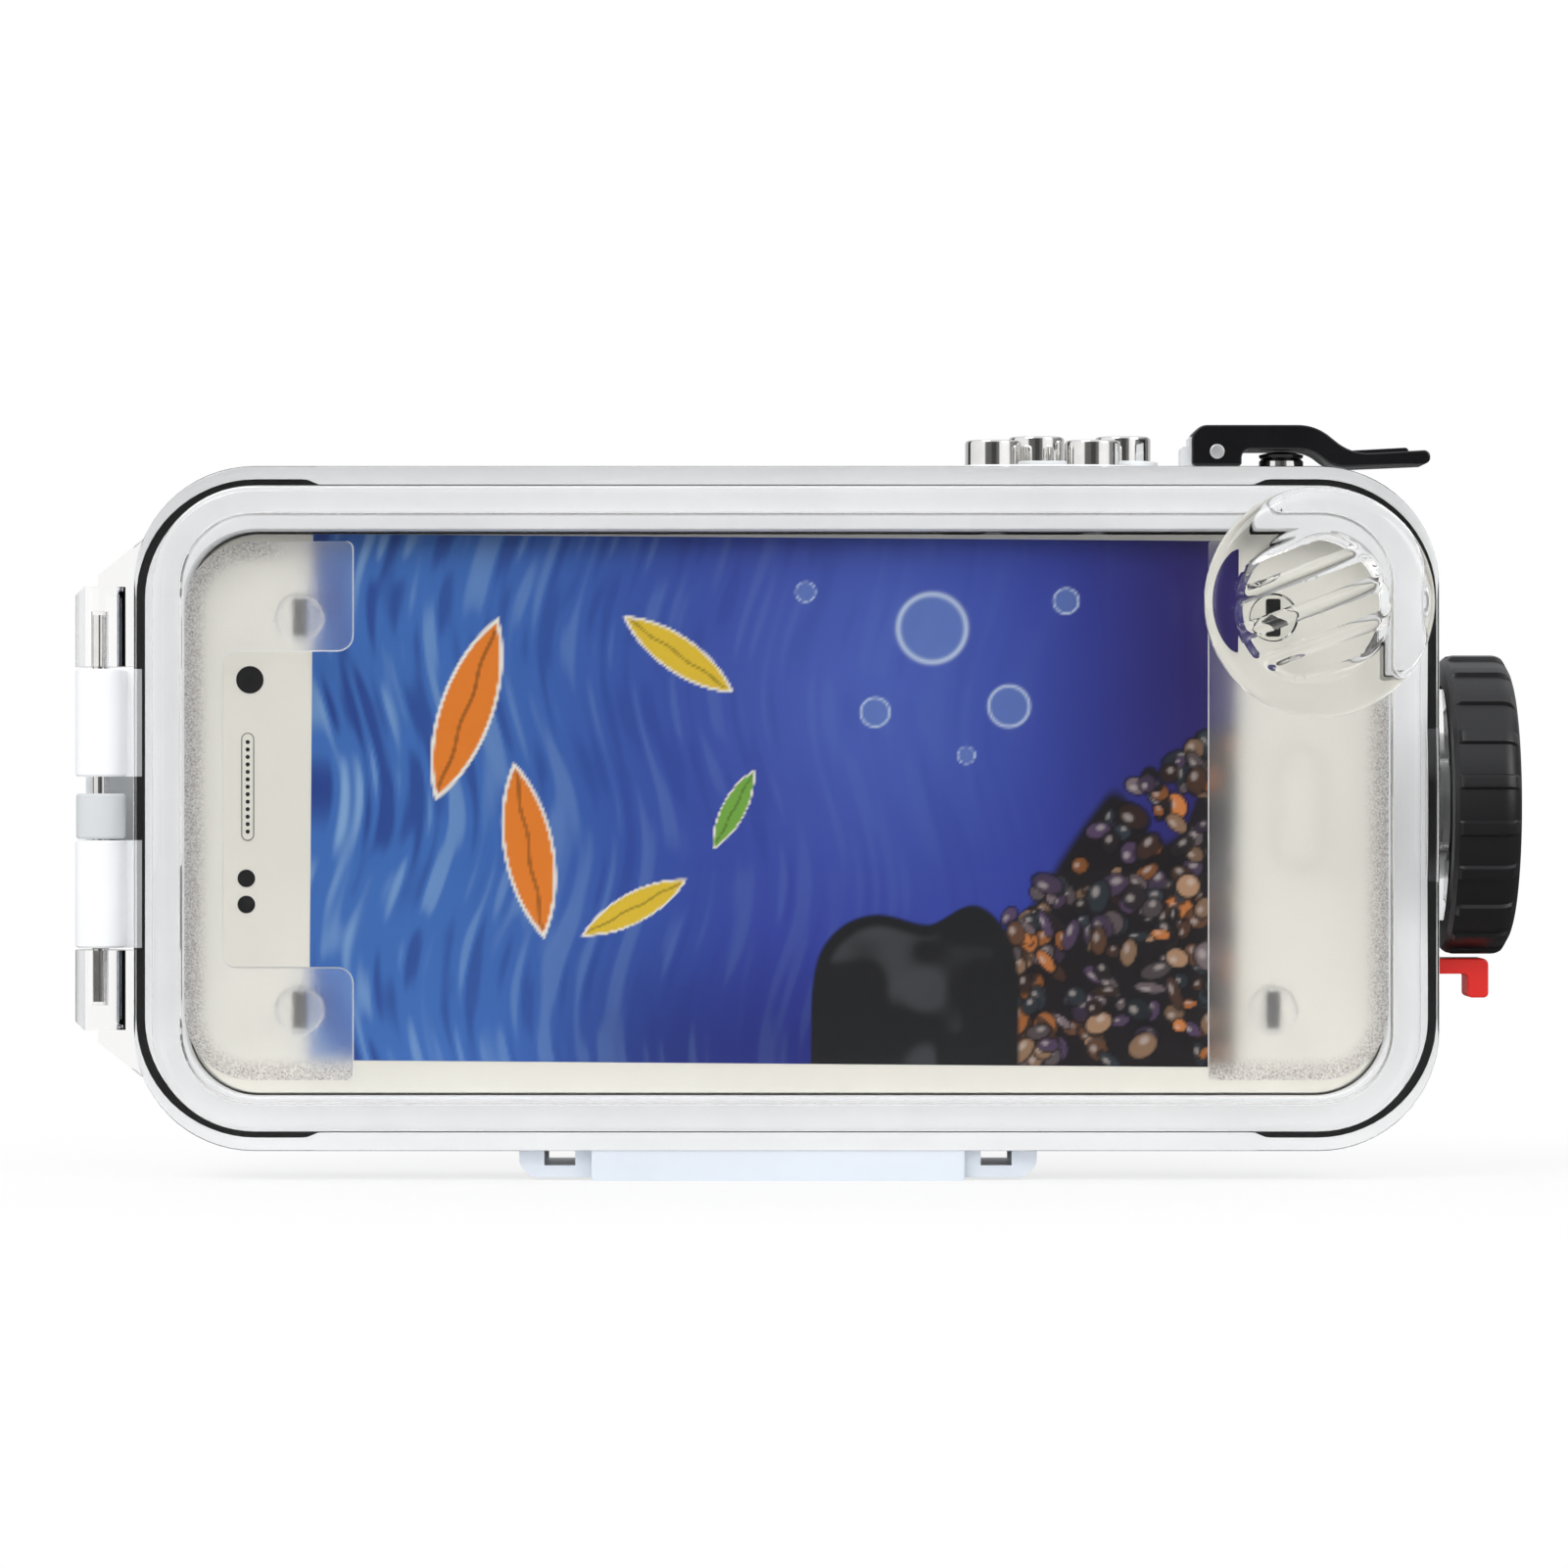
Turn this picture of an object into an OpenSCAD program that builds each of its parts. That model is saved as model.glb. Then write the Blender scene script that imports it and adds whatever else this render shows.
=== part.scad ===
// Waterproof diving case for a phone: a clear front cover hinged on a white back shell,
// shut by a knob latch with a lock, with push buttons and a shutter lever on top,
// a camera window and a vacuum valve behind, and a foot with a tripod thread below.
// X runs along the case, Z is up and Y goes from the front cover to the back.
// The origin is the mouth of the tripod thread, in the underside of the foot.

/* [Case] */
// Length of the case from the hinge end to the knob end
body_w = 184; // [180:1:200]
// Height of the case above its foot
body_h = 96.5; // [95:0.5:110]
// Radius of the four corners of the case
corner_r = 17; // [14:0.5:20]
// Depth of the white back shell
shell_d = 22; // [22:0.5:28]
// Radius of the edge round the back of the shell
back_edge_r = 3.5; // [2:0.5:5]
// Thickness of the wall at each end of the bay
end_wall = 7; // [7:0.25:9]
// Thickness of the wall above the bay, which guides the buttons
top_wall = 9; // [8.5:0.25:11]
// Thickness of the wall below the bay
bottom_wall = 7.5; // [7:0.25:10]
// Thickness of the floor behind the bay
floor_t = 3; // [2.5:0.25:4]
// Radius of the corners of the bay
bay_r = 10; // [7:0.5:12]

/* [Front cover] */
// Thickness of the flange that meets the shell
flange_t = 4; // [3:0.25:5]
// Rise of the window tub in front of the flange
tub_rise = 4; // [3:0.25:6]
// Inset of the tub from the edge of the flange
tub_inset = 3; // [2.5:0.25:4]
// Thickness of the wall round the tub
tub_wall = 3.6; // [2.5:0.1:4.2]
// Thickness of the window
window_t = 3; // [2.5:0.25:4]
// Distance of the thumb rest's centre from the knob end
thumb_from_end = 17.3; // [15:0.1:30]
// Distance of the thumb rest's centre from the top of the case
thumb_from_top = 19.3; // [17:0.1:30]
// Radius of the thumb rest
thumb_r = 16.2; // [14:0.1:18]
// Height of the thumb rest over the window
thumb_rise = 2.2; // [1.5:0.1:3]
// Radius of the hollow in the thumb rest
thumb_hollow_r = 10.4; // [8:0.1:12]
// Slope of the grip ribs across the hollow, in degrees
thumb_rib_angle = 20; // [0:5:40]
// Distance between the grip ribs
thumb_rib_pitch = 4.6; // [3:0.1:6]

/* [Seal] */
// Width of the rubber seal between the cover and the shell
seal_w = 1.5; // [1.2:0.1:2]
// Height of the seal in its groove
seal_h = 1.5; // [1:0.1:2.2]
// Distance from the edge of the case to the seal at both ends
seal_end_in = 0.8; // [0.8:0.05:1.4]
// Distance from the edge of the case to the seal along the two long sides
seal_side_in = 2.6; // [1.5:0.1:3.2]

/* [Hinge] */
// Distance of the hinge pin from the end of the case
hinge_out = 5; // [4.5:0.1:7]
// Radius of the hinge knuckles
knuckle_r = 3.6; // [3.2:0.1:4.2]
// Radius of the hinge pin
hinge_pin_r = 1.2; // [1:0.05:1.5]
// Length of the hinge pin
hinge_pin_l = 54.6; // [50:0.2:58]
// Height of the upper shell knuckle's top above the middle of the case
knuckle_top = 19.7; // [18:0.1:22]
// Height of the lower end of the upper knuckle above the middle of the case
knuckle_low = 4.5; // [4:0.1:8]
// Length of the sleeve between the shell knuckles
sleeve_l = 6.4; // [4:0.1:6.6]
// Outer reach of the cover's lugs from the middle of the case
lug_reach = 38.5; // [36:0.5:40]

/* [Latch knob] */
// Radius of the knob over its ribs
knob_r = 21.5; // [20:0.1:22]
// Thickness of the knob
knob_t = 9.6; // [8.5:0.1:12]
// Gap between the case and the knob
knob_gap = 1.7; // [1.6:0.1:2.4]
// Height of the knob's axis above the middle of the case
knob_up = 0.5; // [0:0.1:1]
// Distance of the knob's axis behind the middle of the shell
knob_back = 1; // [0:0.1:2]
// Number of ribs round the knob
knob_ribs = 20; // [12:1:28]
// Height of a rib on the knob
knob_rib_h = 0.5; // [0.3:0.05:0.8]
// Radius of the boss that the knob turns on
knob_boss_r = 5.5; // [4.5:0.1:6]

/* [Lock] */
// Thickness of the lock's arm
lock_t = 2.2; // [1.8:0.1:2.4]
// Width of the lock's arm across the case
lock_w = 8; // [6:0.5:9]
// Distance that the lock's arm stands out of the case
lock_out = 8.2; // [7:0.1:9]
// Length of the lock's thumb leg, arm included
lock_leg = 5.6; // [5:0.1:7]
// Distance that the lock slides down
lock_travel = 2; // [1.5:0.1:2.4]

/* [Buttons] */
// Radius of a button's cap
button_r = 4; // [3.5:0.05:4.2]
// Height that a cap stands above its boss
button_up = 3.6; // [3:0.1:5]
// Distance that a button travels
button_travel = 1.2; // [0.8:0.05:1.4]
// Distance of the last button from the knob end
button_from_end = 43.5; // [42:0.1:45]
// Spacing of neighbouring buttons, from the hinge side to the knob side
button_pitch = [10.8, 11.5, 9.85];
// Distance of the front row of buttons behind the face of the tray
button_front = 2.8; // [2.6:0.1:3]
// Distance of the back row of buttons in front of the floor of the bay
button_rear = 2.6; // [2.4:0.1:2.8]
// Height of the boss under the front row
front_boss_h = 0.6; // [0.4:0.1:1]
// Height of the boss under the back row
rear_boss_h = 1.6; // [1:0.1:2]
// Radius of a button's shaft
shaft_r = 1.85; // [1.6:0.05:2]

/* [Shutter lever] */
// Distance of the lever's pivot from the knob end
pivot_from_end = 30.6; // [29:0.1:32]
// Height of the pivot above the top of the case
pivot_up = 2.6; // [2.6:0.1:3.2]
// Radius of the pivot pin
pivot_r = 1.1; // [0.9:0.05:1.3]
// Width of the lever
lever_w = 10; // [9:0.5:11]
// Angle that the lever turns through when it is pressed, in degrees
lever_travel = 7; // [4:0.5:7]
// Distance of the plunger from the pivot
plunger_from_pivot = 9.5; // [9:0.1:10]
// Radius of the plunger's head
plunger_r = 3.2; // [2.8:0.1:3.4]

/* [Camera window] */
// Width of the raised camera block along the case
block_w = 64; // [62:0.5:68]
// Height of the camera block
block_h = 75; // [72:0.5:80]
// Depth of the camera block behind the shell
block_d = 10; // [9.5:0.25:12]
// Distance of the camera block from the knob end
block_from_end = 4; // [4:0.25:8]
// Width of the camera opening
camera_w = 30; // [26:0.5:30]
// Height of the camera opening
camera_h = 50; // [44:0.5:50]
// Distance of the camera opening's middle from the knob end
camera_from_end = 26; // [26:0.5:28]
// Height of the camera opening's middle above the middle of the case
camera_up = 1.5; // [0:0.25:1.5]
// Thickness of the camera glass
glass_t = 3; // [2:0.25:3]

/* [Vacuum valve] */
// Radius of the vacuum cap
vac_cap_r = 13.25; // [12:0.25:14]
// Height of the vacuum cap
vac_cap_h = 7.6; // [7:0.1:9]
// Distance of the vacuum cap from the middle of the case, towards the knob
vac_x = 4; // [0:0.5:6]
// Height of the vacuum cap's axis above the bottom of the case
vac_up = 22.5; // [20:0.5:26]

/* [Bay] */
// Depth of the free space for the phone between the window and the tray
phone_space = 10; // [9:0.25:10.5]
// Thickness of the tray
tray_t = 1.6; // [1.4:0.1:2]
// Thickness of the display card
card_t = 1; // [0.6:0.1:1.4]
// Distance of the bumpers from each end of the bay
bumper_in = 16.5; // [14:0.5:20]
// Distance of the bumpers from the middle of the bay
bumper_up = 27.6; // [24:0.2:30]

/* [Foot] */
// Height of the foot
foot_h = 4.5; // [4:0.1:6]
// Depth of the foot, front to back
foot_d = 21; // [18:0.5:21]
// Length of the foot's middle plate
foot_w = 52.8; // [48:0.2:60]
// Length of each lanyard lobe
lobe_w = 10.3; // [10:0.1:12]
// Radius of the tripod thread's wall, a quarter inch thread at its crests
tripod_r = 2.55; // [2.5:0.05:2.6]
// Depth of the tripod thread
tripod_l = 7; // [6:0.25:8]

/* [Clearances] */
// Gap round a shaft or pin that turns or slides
run_gap = 0.06; // [0.04:0.01:0.1]
// Gap between loosely fitting pieces
fit_gap = 0.2; // [0.1:0.05:0.3]
// Gap between pieces that pass each other
pass_gap = 0.3; // [0.25:0.05:0.4]

/* [Hidden] */
$fn = 48;
hull_fn = 32;

// Planes from the front to the back
y_part = -shell_d / 2;
y_back = shell_d / 2;
y_flange = y_part - flange_t;
y_front = y_flange - tub_rise;
y_glass = y_front + window_t;
y_floor = y_back - floor_t;
y_tray = y_glass + phone_space;
y_card = y_tray - card_t;
y_block = y_back + block_d;

// Levels and sides
z_low = foot_h;
z_top = foot_h + body_h;
z_mid = (z_low + z_top) / 2;
x_end = body_w / 2;
bay_x = x_end - end_wall;
bay_low = z_low + bottom_wall;
bay_top = z_top - top_wall;
bay_h = bay_top - bay_low;
bay_mid = (bay_top + bay_low) / 2;

// Seal, where its line jogs in
jog_start = x_end - corner_r + 3;
jog_l = 12;

// Thumb rest
thumb_x = x_end - thumb_from_end;
thumb_z = z_top - thumb_from_top;

// Bumpers and their ring sockets
bumper_x = bay_x - bumper_in;
socket_h = 2.4;
socket_r = 3.4;
bumper_w = 2;
bumper_l = 5.3;
bumper_proud = 1.3;

// Hinge axis
hinge_x = -x_end - hinge_out;
hinge_y = y_part;

// Knob
knob_x = x_end + knob_gap;
knob_y = knob_back;
knob_z = z_mid + knob_up;
knob_hub = 3.5;
knob_web = 1.6;
washer_t = 0.6;
washer_r = 4.4;
screw_r = 2;
screw_head_r = 3.6;
screw_head_h = 2.2;
tongue_r = knob_r - 2.2;
tongue_t = 1;
tongue_gap = 0.15;

// Lock
lock_top = knob_z - knob_r - 0.45;
lock_foot_x = 4.2;
lock_pin_r = 0.8;
lock_well = lock_leg + lock_travel + 2.4;
lock_floor = lock_top + pass_gap - lock_well;
lock_x = x_end - lock_foot_x / 2 - fit_gap;

// Buttons
button_y = [for (i = [0:3]) i % 2 == 0 ? y_tray + button_front : y_floor - button_rear];
button_step = [for (p = button_pitch) sqrt(p * p - pow(button_y[1] - button_y[0], 2))];
button_x3 = x_end - button_from_end;
button_x2 = button_x3 - button_step[2];
button_x1 = button_x2 - button_step[1];
button_x = [button_x1 - button_step[0], button_x1, button_x2, button_x3];
button_seat = [for (i = [0:3]) z_top + (i % 2 == 0 ? front_boss_h : rear_boss_h)];
well_deep = 2.1;
spring_well = 5.6;
spring_well_r = 3.3;
spring_r = 2.6;
seal_slot = 1.2;
clip_t = 0.6;
clip_slot = 0.7;
clip_r = 2.5;
neck_r = 1.2;
tip_drop = 1.6;

// Lever
pivot_x = x_end - pivot_from_end;
pivot_z = z_top + pivot_up;
plunger_x = pivot_x + plunger_from_pivot;
lever_roof = pivot_z + 0.3;
plunger_top = lever_roof - 0.06;
plunger_travel = plunger_from_pivot * lever_travel * PI / 180;
lug_w = 6;
lever_back = 3.6;
lever_rise = 3.8;
lever_flat = 12.6;
lever_knee = 19.4;
lever_under = 12.2;
lever_heel = 17.6;
lever_cheek = 3.5;
lever_round = 1.9;
elbow_r = 3;
knee_r = 1.7;
tail_t = 1.7;
dome_r = 6;

// Camera window
block_x = x_end - block_from_end - block_w / 2;
block_z = z_mid;
camera_x = x_end - camera_from_end;
camera_z = z_mid + camera_up;
bezel_t = 2;
gasket_t = 1;
seat_lip = block_d - bezel_t - glass_t - gasket_t;
screw_in = 5;
insert_x = block_x - block_w / 2 + 12;
insert_y = y_back + 3.1;
insert_w = 11.8;
insert_d = 3.8;
insert_deep = 1.2;

// Vacuum valve
vac_z = z_low + vac_up;
spigot_r = 9.5;
spigot_h = 5;
vac_pad = 1;

// Control board under the buttons
board_drop = 7.4;
board_z = bay_top - board_drop;
board_t = 1.2;
board_past = 7.3;
board_x0 = button_x[0] - board_past;
board_x1 = plunger_x + board_past;
board_gap = 0.3;
board_d = y_floor - y_tray - 0.7 - board_gap;
board_hole_y = y_floor - 3;
board_hole_in = 4;
switch_w = 4;
switch_stem_r = 1.3;
board_screw_r = 0.9;

// Coin cell
cell_r = 10;
cell_t = 3.2;
cell_cover_t = 1.5;
cell_deep = cell_cover_t + cell_t + pass_gap;
cell_x = -24;
cell_z = z_mid + 18;

// Foot
foot_x = -1.2;
insert_r = 4.6;

// Small shared shapes

// A rounded rectangle centred on its origin
module outline(w, h, r) {
    square([w - 2 * r, h], center = true);
    square([w, h - 2 * r], center = true);
    for (sx = [-1, 1], sz = [-1, 1])
        translate([sx * (w / 2 - r), sz * (h / 2 - r)]) circle(r);
}

// A rounded plate that stands across Y, from y0 back to y1
module slab(w, h, r, y0, y1, x = 0, z = 0)
    translate([x, y1, z]) rotate([90, 0, 0]) linear_extrude(y1 - y0) outline(w, h, r);

// A plate whose far edge is rounded by e, from y0 to y1, where dir says which way is out
module soft_slab(w, h, r, y0, y1, e, dir = 1, x = 0, z = 0) {
    inner = dir > 0 ? y1 - e : y0 + e;
    slab(w, h, r, dir > 0 ? y0 : inner, dir > 0 ? inner : y1, x, z);
    hull() for (t = [0:30:90]) {
        cut = 2 * e * (1 - cos(t));
        y = inner + dir * e * sin(t);
        near = dir > 0 ? y - 0.02 : y;
        slab(w - cut, h - cut, r - cut / 2, near, near + 0.02, x, z, $fn = hull_fn);
    }
}

module rod_y(r, y0, y1, x, z)
    translate([x, y1, z]) rotate([90, 0, 0]) cylinder(h = y1 - y0, r = r);

module rod_x(r, x0, x1, y, z)
    translate([x0, y, z]) rotate([0, 90, 0]) cylinder(h = x1 - x0, r = r);

module rod_z(r, z0, z1, x, y)
    translate([x, y, z0]) cylinder(h = z1 - z0, r = r);

module box(x0, x1, y0, y1, z0, z1)
    translate([x0, y0, z0]) cube([x1 - x0, y1 - y0, z1 - z0]);

// A ring of round section lying flat at z
module o_ring(mid_r, wire, z)
    translate([0, 0, z]) rotate_extrude() translate([mid_r, 0]) circle(wire, $fn = 24);

// An open spring clip lying flat from z up
module clip(z)
    translate([0, 0, z]) difference() {
        cylinder(h = clip_t, r = clip_r);
        translate([0, 0, -1]) cylinder(h = clip_t + 2, r = neck_r + 0.03);
        box(-neck_r * 0.8, neck_r * 0.8, 0, clip_r + 1, -1, clip_t + 1);
    }

// A coil spring of round wire that stands on z = 0
module coil(mid_r, wire, h, turns) {
    steps = 12;
    sides = 6;
    rings = turns * steps;
    points = [
        for (i = [0:rings], j = [0:sides - 1])
            let (a = 360 * i / steps, b = 360 * j / sides, rr = mid_r + wire * cos(b))
            [rr * cos(a), rr * sin(a), wire + (h - 2 * wire) * i / rings + wire * sin(b)]
    ];
    skin = [
        for (i = [0:rings - 1], j = [0:sides - 1], half = [0, 1])
            let (k = (j + 1) % sides, p = i * sides, q = p + sides)
            half == 0 ? [p + j, q + k, p + k] : [p + j, q + j, q + k]
    ];
    polyhedron(points, concat(
        [[for (j = [0:sides - 1]) j]],
        [[for (j = [sides - 1:-1:0]) rings * sides + j]],
        skin));
}

// Points on an arc in the plane, from angle a0 to a1
function arc(cx, cz, r, a0, a1, n = 6) =
    [for (i = [0:n]) let (a = a0 + (a1 - a0) * i / n) [cx + r * cos(a), cz + r * sin(a)]];

// Seal

// Half height of the seal's line at x: full at the ends, pulled in along the sides
function seal_step(t) = t <= 0 ? 0 : t >= 1 ? 1 : t * t * (3 - 2 * t);
function seal_side(x, in) =
    body_h / 2 - in - (seal_side_in - seal_end_in) * seal_step((jog_start - abs(x)) / jog_l);

// A quarter of the seal's line at a distance in from the edge, from the end to the middle
function seal_quarter(in) = concat(
    arc(x_end - corner_r, body_h / 2 - corner_r, corner_r - in, 0, 90, 12),
    [for (i = [1:8]) let (x = min(x_end - corner_r, jog_start) - jog_l * i / 8) [x, seal_side(x, in)]]);
module seal_outline(in) {
    quarter = seal_quarter(in);
    last = len(quarter) - 1;
    polygon(concat(
        quarter,
        [for (i = [last:-1:0]) [-quarter[i][0], quarter[i][1]]],
        [for (p = quarter) [-p[0], -p[1]]],
        [for (i = [last:-1:0]) [quarter[i][0], -quarter[i][1]]]));
}

module seal_ring(in, w, y0, y1)
    translate([0, y1, z_mid]) rotate([90, 0, 0]) linear_extrude(y1 - y0) difference() {
        seal_outline(in);
        seal_outline(in + w);
    }

module main_seal() color("#151517")
    seal_ring(seal_end_in, seal_w, y_part + 0.1, y_part + 0.1 + seal_h);

// Front cover

// Side view of one hinge lug, from the shell knuckle outwards, for side = 1 or -1
module lug(side) {
    near = z_mid + side * (knuckle_top + pass_gap);
    far = z_mid + side * lug_reach;
    edge = z_mid + side * (lug_reach - 8.5);
    end = z_mid + side * (lug_reach - 7.2);
    intersection() {
        translate([0, hinge_y + knuckle_r, 0]) rotate([90, 0, 0]) linear_extrude(2 * knuckle_r)
            polygon([[-x_end + 6, near], [hinge_x - knuckle_r, near], [hinge_x - knuckle_r, edge],
                [-x_end + 2, far], [-x_end + 6, far]]);
        union() {
            rod_z(knuckle_r, min(near, end), max(near, end), hinge_x, hinge_y);
            box(hinge_x, -x_end + 6, hinge_y - knuckle_r, y_part, min(near, far), max(near, far));
        }
    }
}

module thumb_rest() {
    intersection() {
        translate([thumb_x, y_front + 0.5, thumb_z]) rotate([90, 0, 0]) rotate_extrude()
            polygon(concat([[0, 0], [thumb_r, 0], [thumb_r, 0.9]],
                arc(thumb_r - 2.4, 0.9, 2.4 * 0.75, 20, 90, 5),
                [[0, thumb_rise + 0.5]]));
        slab(body_w - 2 * tub_inset, body_h - 2 * tub_inset, corner_r - tub_inset,
            y_front - thumb_rise - 1, y_front + 1, 0, z_mid);
    }
}

module thumb_hollow() {
    difference() {
        rod_y(thumb_hollow_r, y_front - thumb_rise - 1, y_front + 0.4, thumb_x - 1.2, thumb_z - 0.8);
        for (i = [-2:2])
            translate([thumb_x - 1.2, y_front, thumb_z - 0.8]) rotate([0, -thumb_rib_angle, 0])
                box(-thumb_r, thumb_r, -thumb_rise * 0.55, 1,
                    i * thumb_rib_pitch - 0.55, i * thumb_rib_pitch + 0.55);
    }
}

// Round bosses on the inside of the window, slotted upright, hold the bumpers
module bumper_places()
    for (sx = [-1, 1], sz = [-1, 1]) translate([sx * bumper_x, y_glass, bay_mid + sz * bumper_up])
        rotate([-90, 0, 0]) children();

// The tongue reaches round the end of the case, between it and the knob
module latch_tongue() {
    difference() {
        intersection() {
            rod_x(tongue_r, x_end - 1, x_end + tongue_gap + tongue_t, knob_y, knob_z);
            union() {
                box(x_end - 2, x_end + tongue_gap + tongue_t, y_front - 1, y_part, z_low, z_top);
                box(x_end + tongue_gap, x_end + tongue_gap + tongue_t, y_part - 1, knob_y - 2,
                    z_low, z_top);
            }
        }
        rod_x(knob_boss_r + 0.4, x_end - 2, x_end + 6, knob_y, knob_z);
    }
    intersection() {
        rod_x(tongue_r - 3, x_end + tongue_gap, x_end + tongue_gap + tongue_t + 0.25,
            knob_y, knob_z);
        box(x_end, x_end + 4, knob_y - tongue_r, knob_y - tongue_r + 6, knob_z - 8, knob_z + 8);
    }
}

module front_cover() color([0.86, 0.91, 0.93, 0.35]) {
    difference() {
        union() {
            slab(body_w, body_h, corner_r, y_flange, y_part, 0, z_mid);
            soft_slab(body_w - 2 * tub_inset, body_h - 2 * tub_inset, corner_r - tub_inset,
                y_front, y_flange + 0.5, 1.2, -1, 0, z_mid);
            for (side = [-1, 1]) lug(side);
            latch_tongue();
            thumb_rest();
        }
        slab(body_w - 2 * (tub_inset + tub_wall), body_h - 2 * (tub_inset + tub_wall),
            corner_r - tub_inset - tub_wall, y_glass, y_part + 1, 0, z_mid);
        thumb_hollow();
        rod_z(hinge_pin_r + run_gap, z_mid - hinge_pin_l / 2 - 0.5, z_mid + hinge_pin_l / 2 + 0.5,
            hinge_x, hinge_y);
    }
    bumper_places() difference() {
        translate([0, 0, -0.5]) cylinder(h = socket_h + 0.5, r = socket_r);
        bumper_stub(0, socket_h + 1, 0.02);
    }
}

// An upright blade of rubber, from z0 to z1 off the window
module bumper_stub(z0, z1, grow = 0)
    translate([0, 0, z0]) linear_extrude(z1 - z0)
        outline(bumper_w + 2 * grow, bumper_l + 2 * grow, bumper_w / 2 - 0.1, $fn = 32);

module bumper(i) {
    sx = i % 2 == 0 ? -1 : 1;
    sz = i < 2 ? 1 : -1;
    color("#202022") translate([sx * bumper_x, y_glass, bay_mid + sz * bumper_up])
        rotate([-90, 0, 0]) bumper_stub(0.02, socket_h + bumper_proud);
}

// Back shell

module foot() {
    plate_y = foot_d / 2;
    difference() {
        union() {
            box(foot_x - foot_w / 2, foot_x + foot_w / 2, -plate_y, plate_y, 0, foot_h + 1);
            for (side = [-1, 1]) {
                x = foot_x + side * foot_w / 2;
                tip = x + side * lobe_w;
                translate([0, plate_y - 1.5, 0]) rotate([90, 0, 0]) linear_extrude(foot_d - 3)
                    polygon([[x, 0.4], [tip - side * 2.4, 0.4], [tip, 2.2], [tip, foot_h + 1],
                        [x, foot_h + 1]]);
            }
        }
        for (side = [-1, 1])
            translate([foot_x + side * (foot_w / 2 + lobe_w / 2 - 0.6), 0, foot_h - 1.2])
                cube([4.4, foot_d + 2, 2.4], center = true);
    }
}

module knuckles() {
    for (side = [-1, 1]) {
        a = z_mid + side * knuckle_low;
        b = z_mid + side * knuckle_top;
        rod_z(knuckle_r, min(a, b), max(a, b), hinge_x, hinge_y);
        box(hinge_x, -x_end + 1, y_part + 0.05, hinge_y + knuckle_r, min(a, b), max(a, b));
    }
}

// One row of buttons stands on a long boss
module button_boss(x0, x1, y, h, r) {
    rod_z(r, z_top - 4, z_top + h, x0, y);
    rod_z(r, z_top - 4, z_top + h, x1, y);
    box(x0, x1, y - r, y + r, z_top - 4, z_top + h);
}

// Stepped hole for a sprung button: cap well, spring well and sealed bore
module button_hole(x, y, top, cap_r)
    translate([x, y, 0]) {
        rod_z(cap_r + pass_gap, top - well_deep, top + 1, 0, 0);
        rod_z(spring_well_r, top - spring_well, top + 1, 0, 0);
        rod_z(shaft_r + run_gap, bay_top - 1, top + 1, 0, 0);
    }

// The lever's bracket stands up between its two cheeks
module lever_bracket() {
    box(pivot_x - 5, pivot_x + 2.2, -lug_w / 2, lug_w / 2, z_top - 1, pivot_z);
    rod_y(2.2, -lug_w / 2, lug_w / 2, pivot_x, pivot_z);
    box(pivot_x - 5, pivot_x - 3.9, -lug_w / 2, lug_w / 2, z_top - 1, pivot_z + 0.8);
}

// Room for the lever's elbow and tail over the corner of the case
module lever_relief()
    translate([pivot_x, 0, pivot_z]) rotate([0, lever_travel + 1, 0])
        box(14.6, 40, -lever_w / 2 - 0.5, lever_w / 2 + 0.5, -2.45, 12);

module lock_well_cut() {
    top = lock_top + pass_gap;
    box(x_end - lock_foot_x - 0.4, x_end + 1, -lock_w / 2 - 0.5, lock_w / 2 + 0.5,
        top - lock_well, top);
    rod_z(lock_pin_r, top - lock_well - 2, top + 1.2, lock_x, 0);
}

module grip_ribs()
    for (i = [0:5])
        slab(2.4, 56, 1, y_back - 0.5, y_back + 1.2, -x_end + 12 + 5.5 * i, z_mid);

module block_screw_places()
    for (sx = [-1, 1], sz = [-1, 1])
        translate([block_x + sx * (block_w / 2 - screw_in), y_back, block_z + sz * (block_h / 2 - screw_in)])
            rotate([-90, 0, 0]) children();

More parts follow.
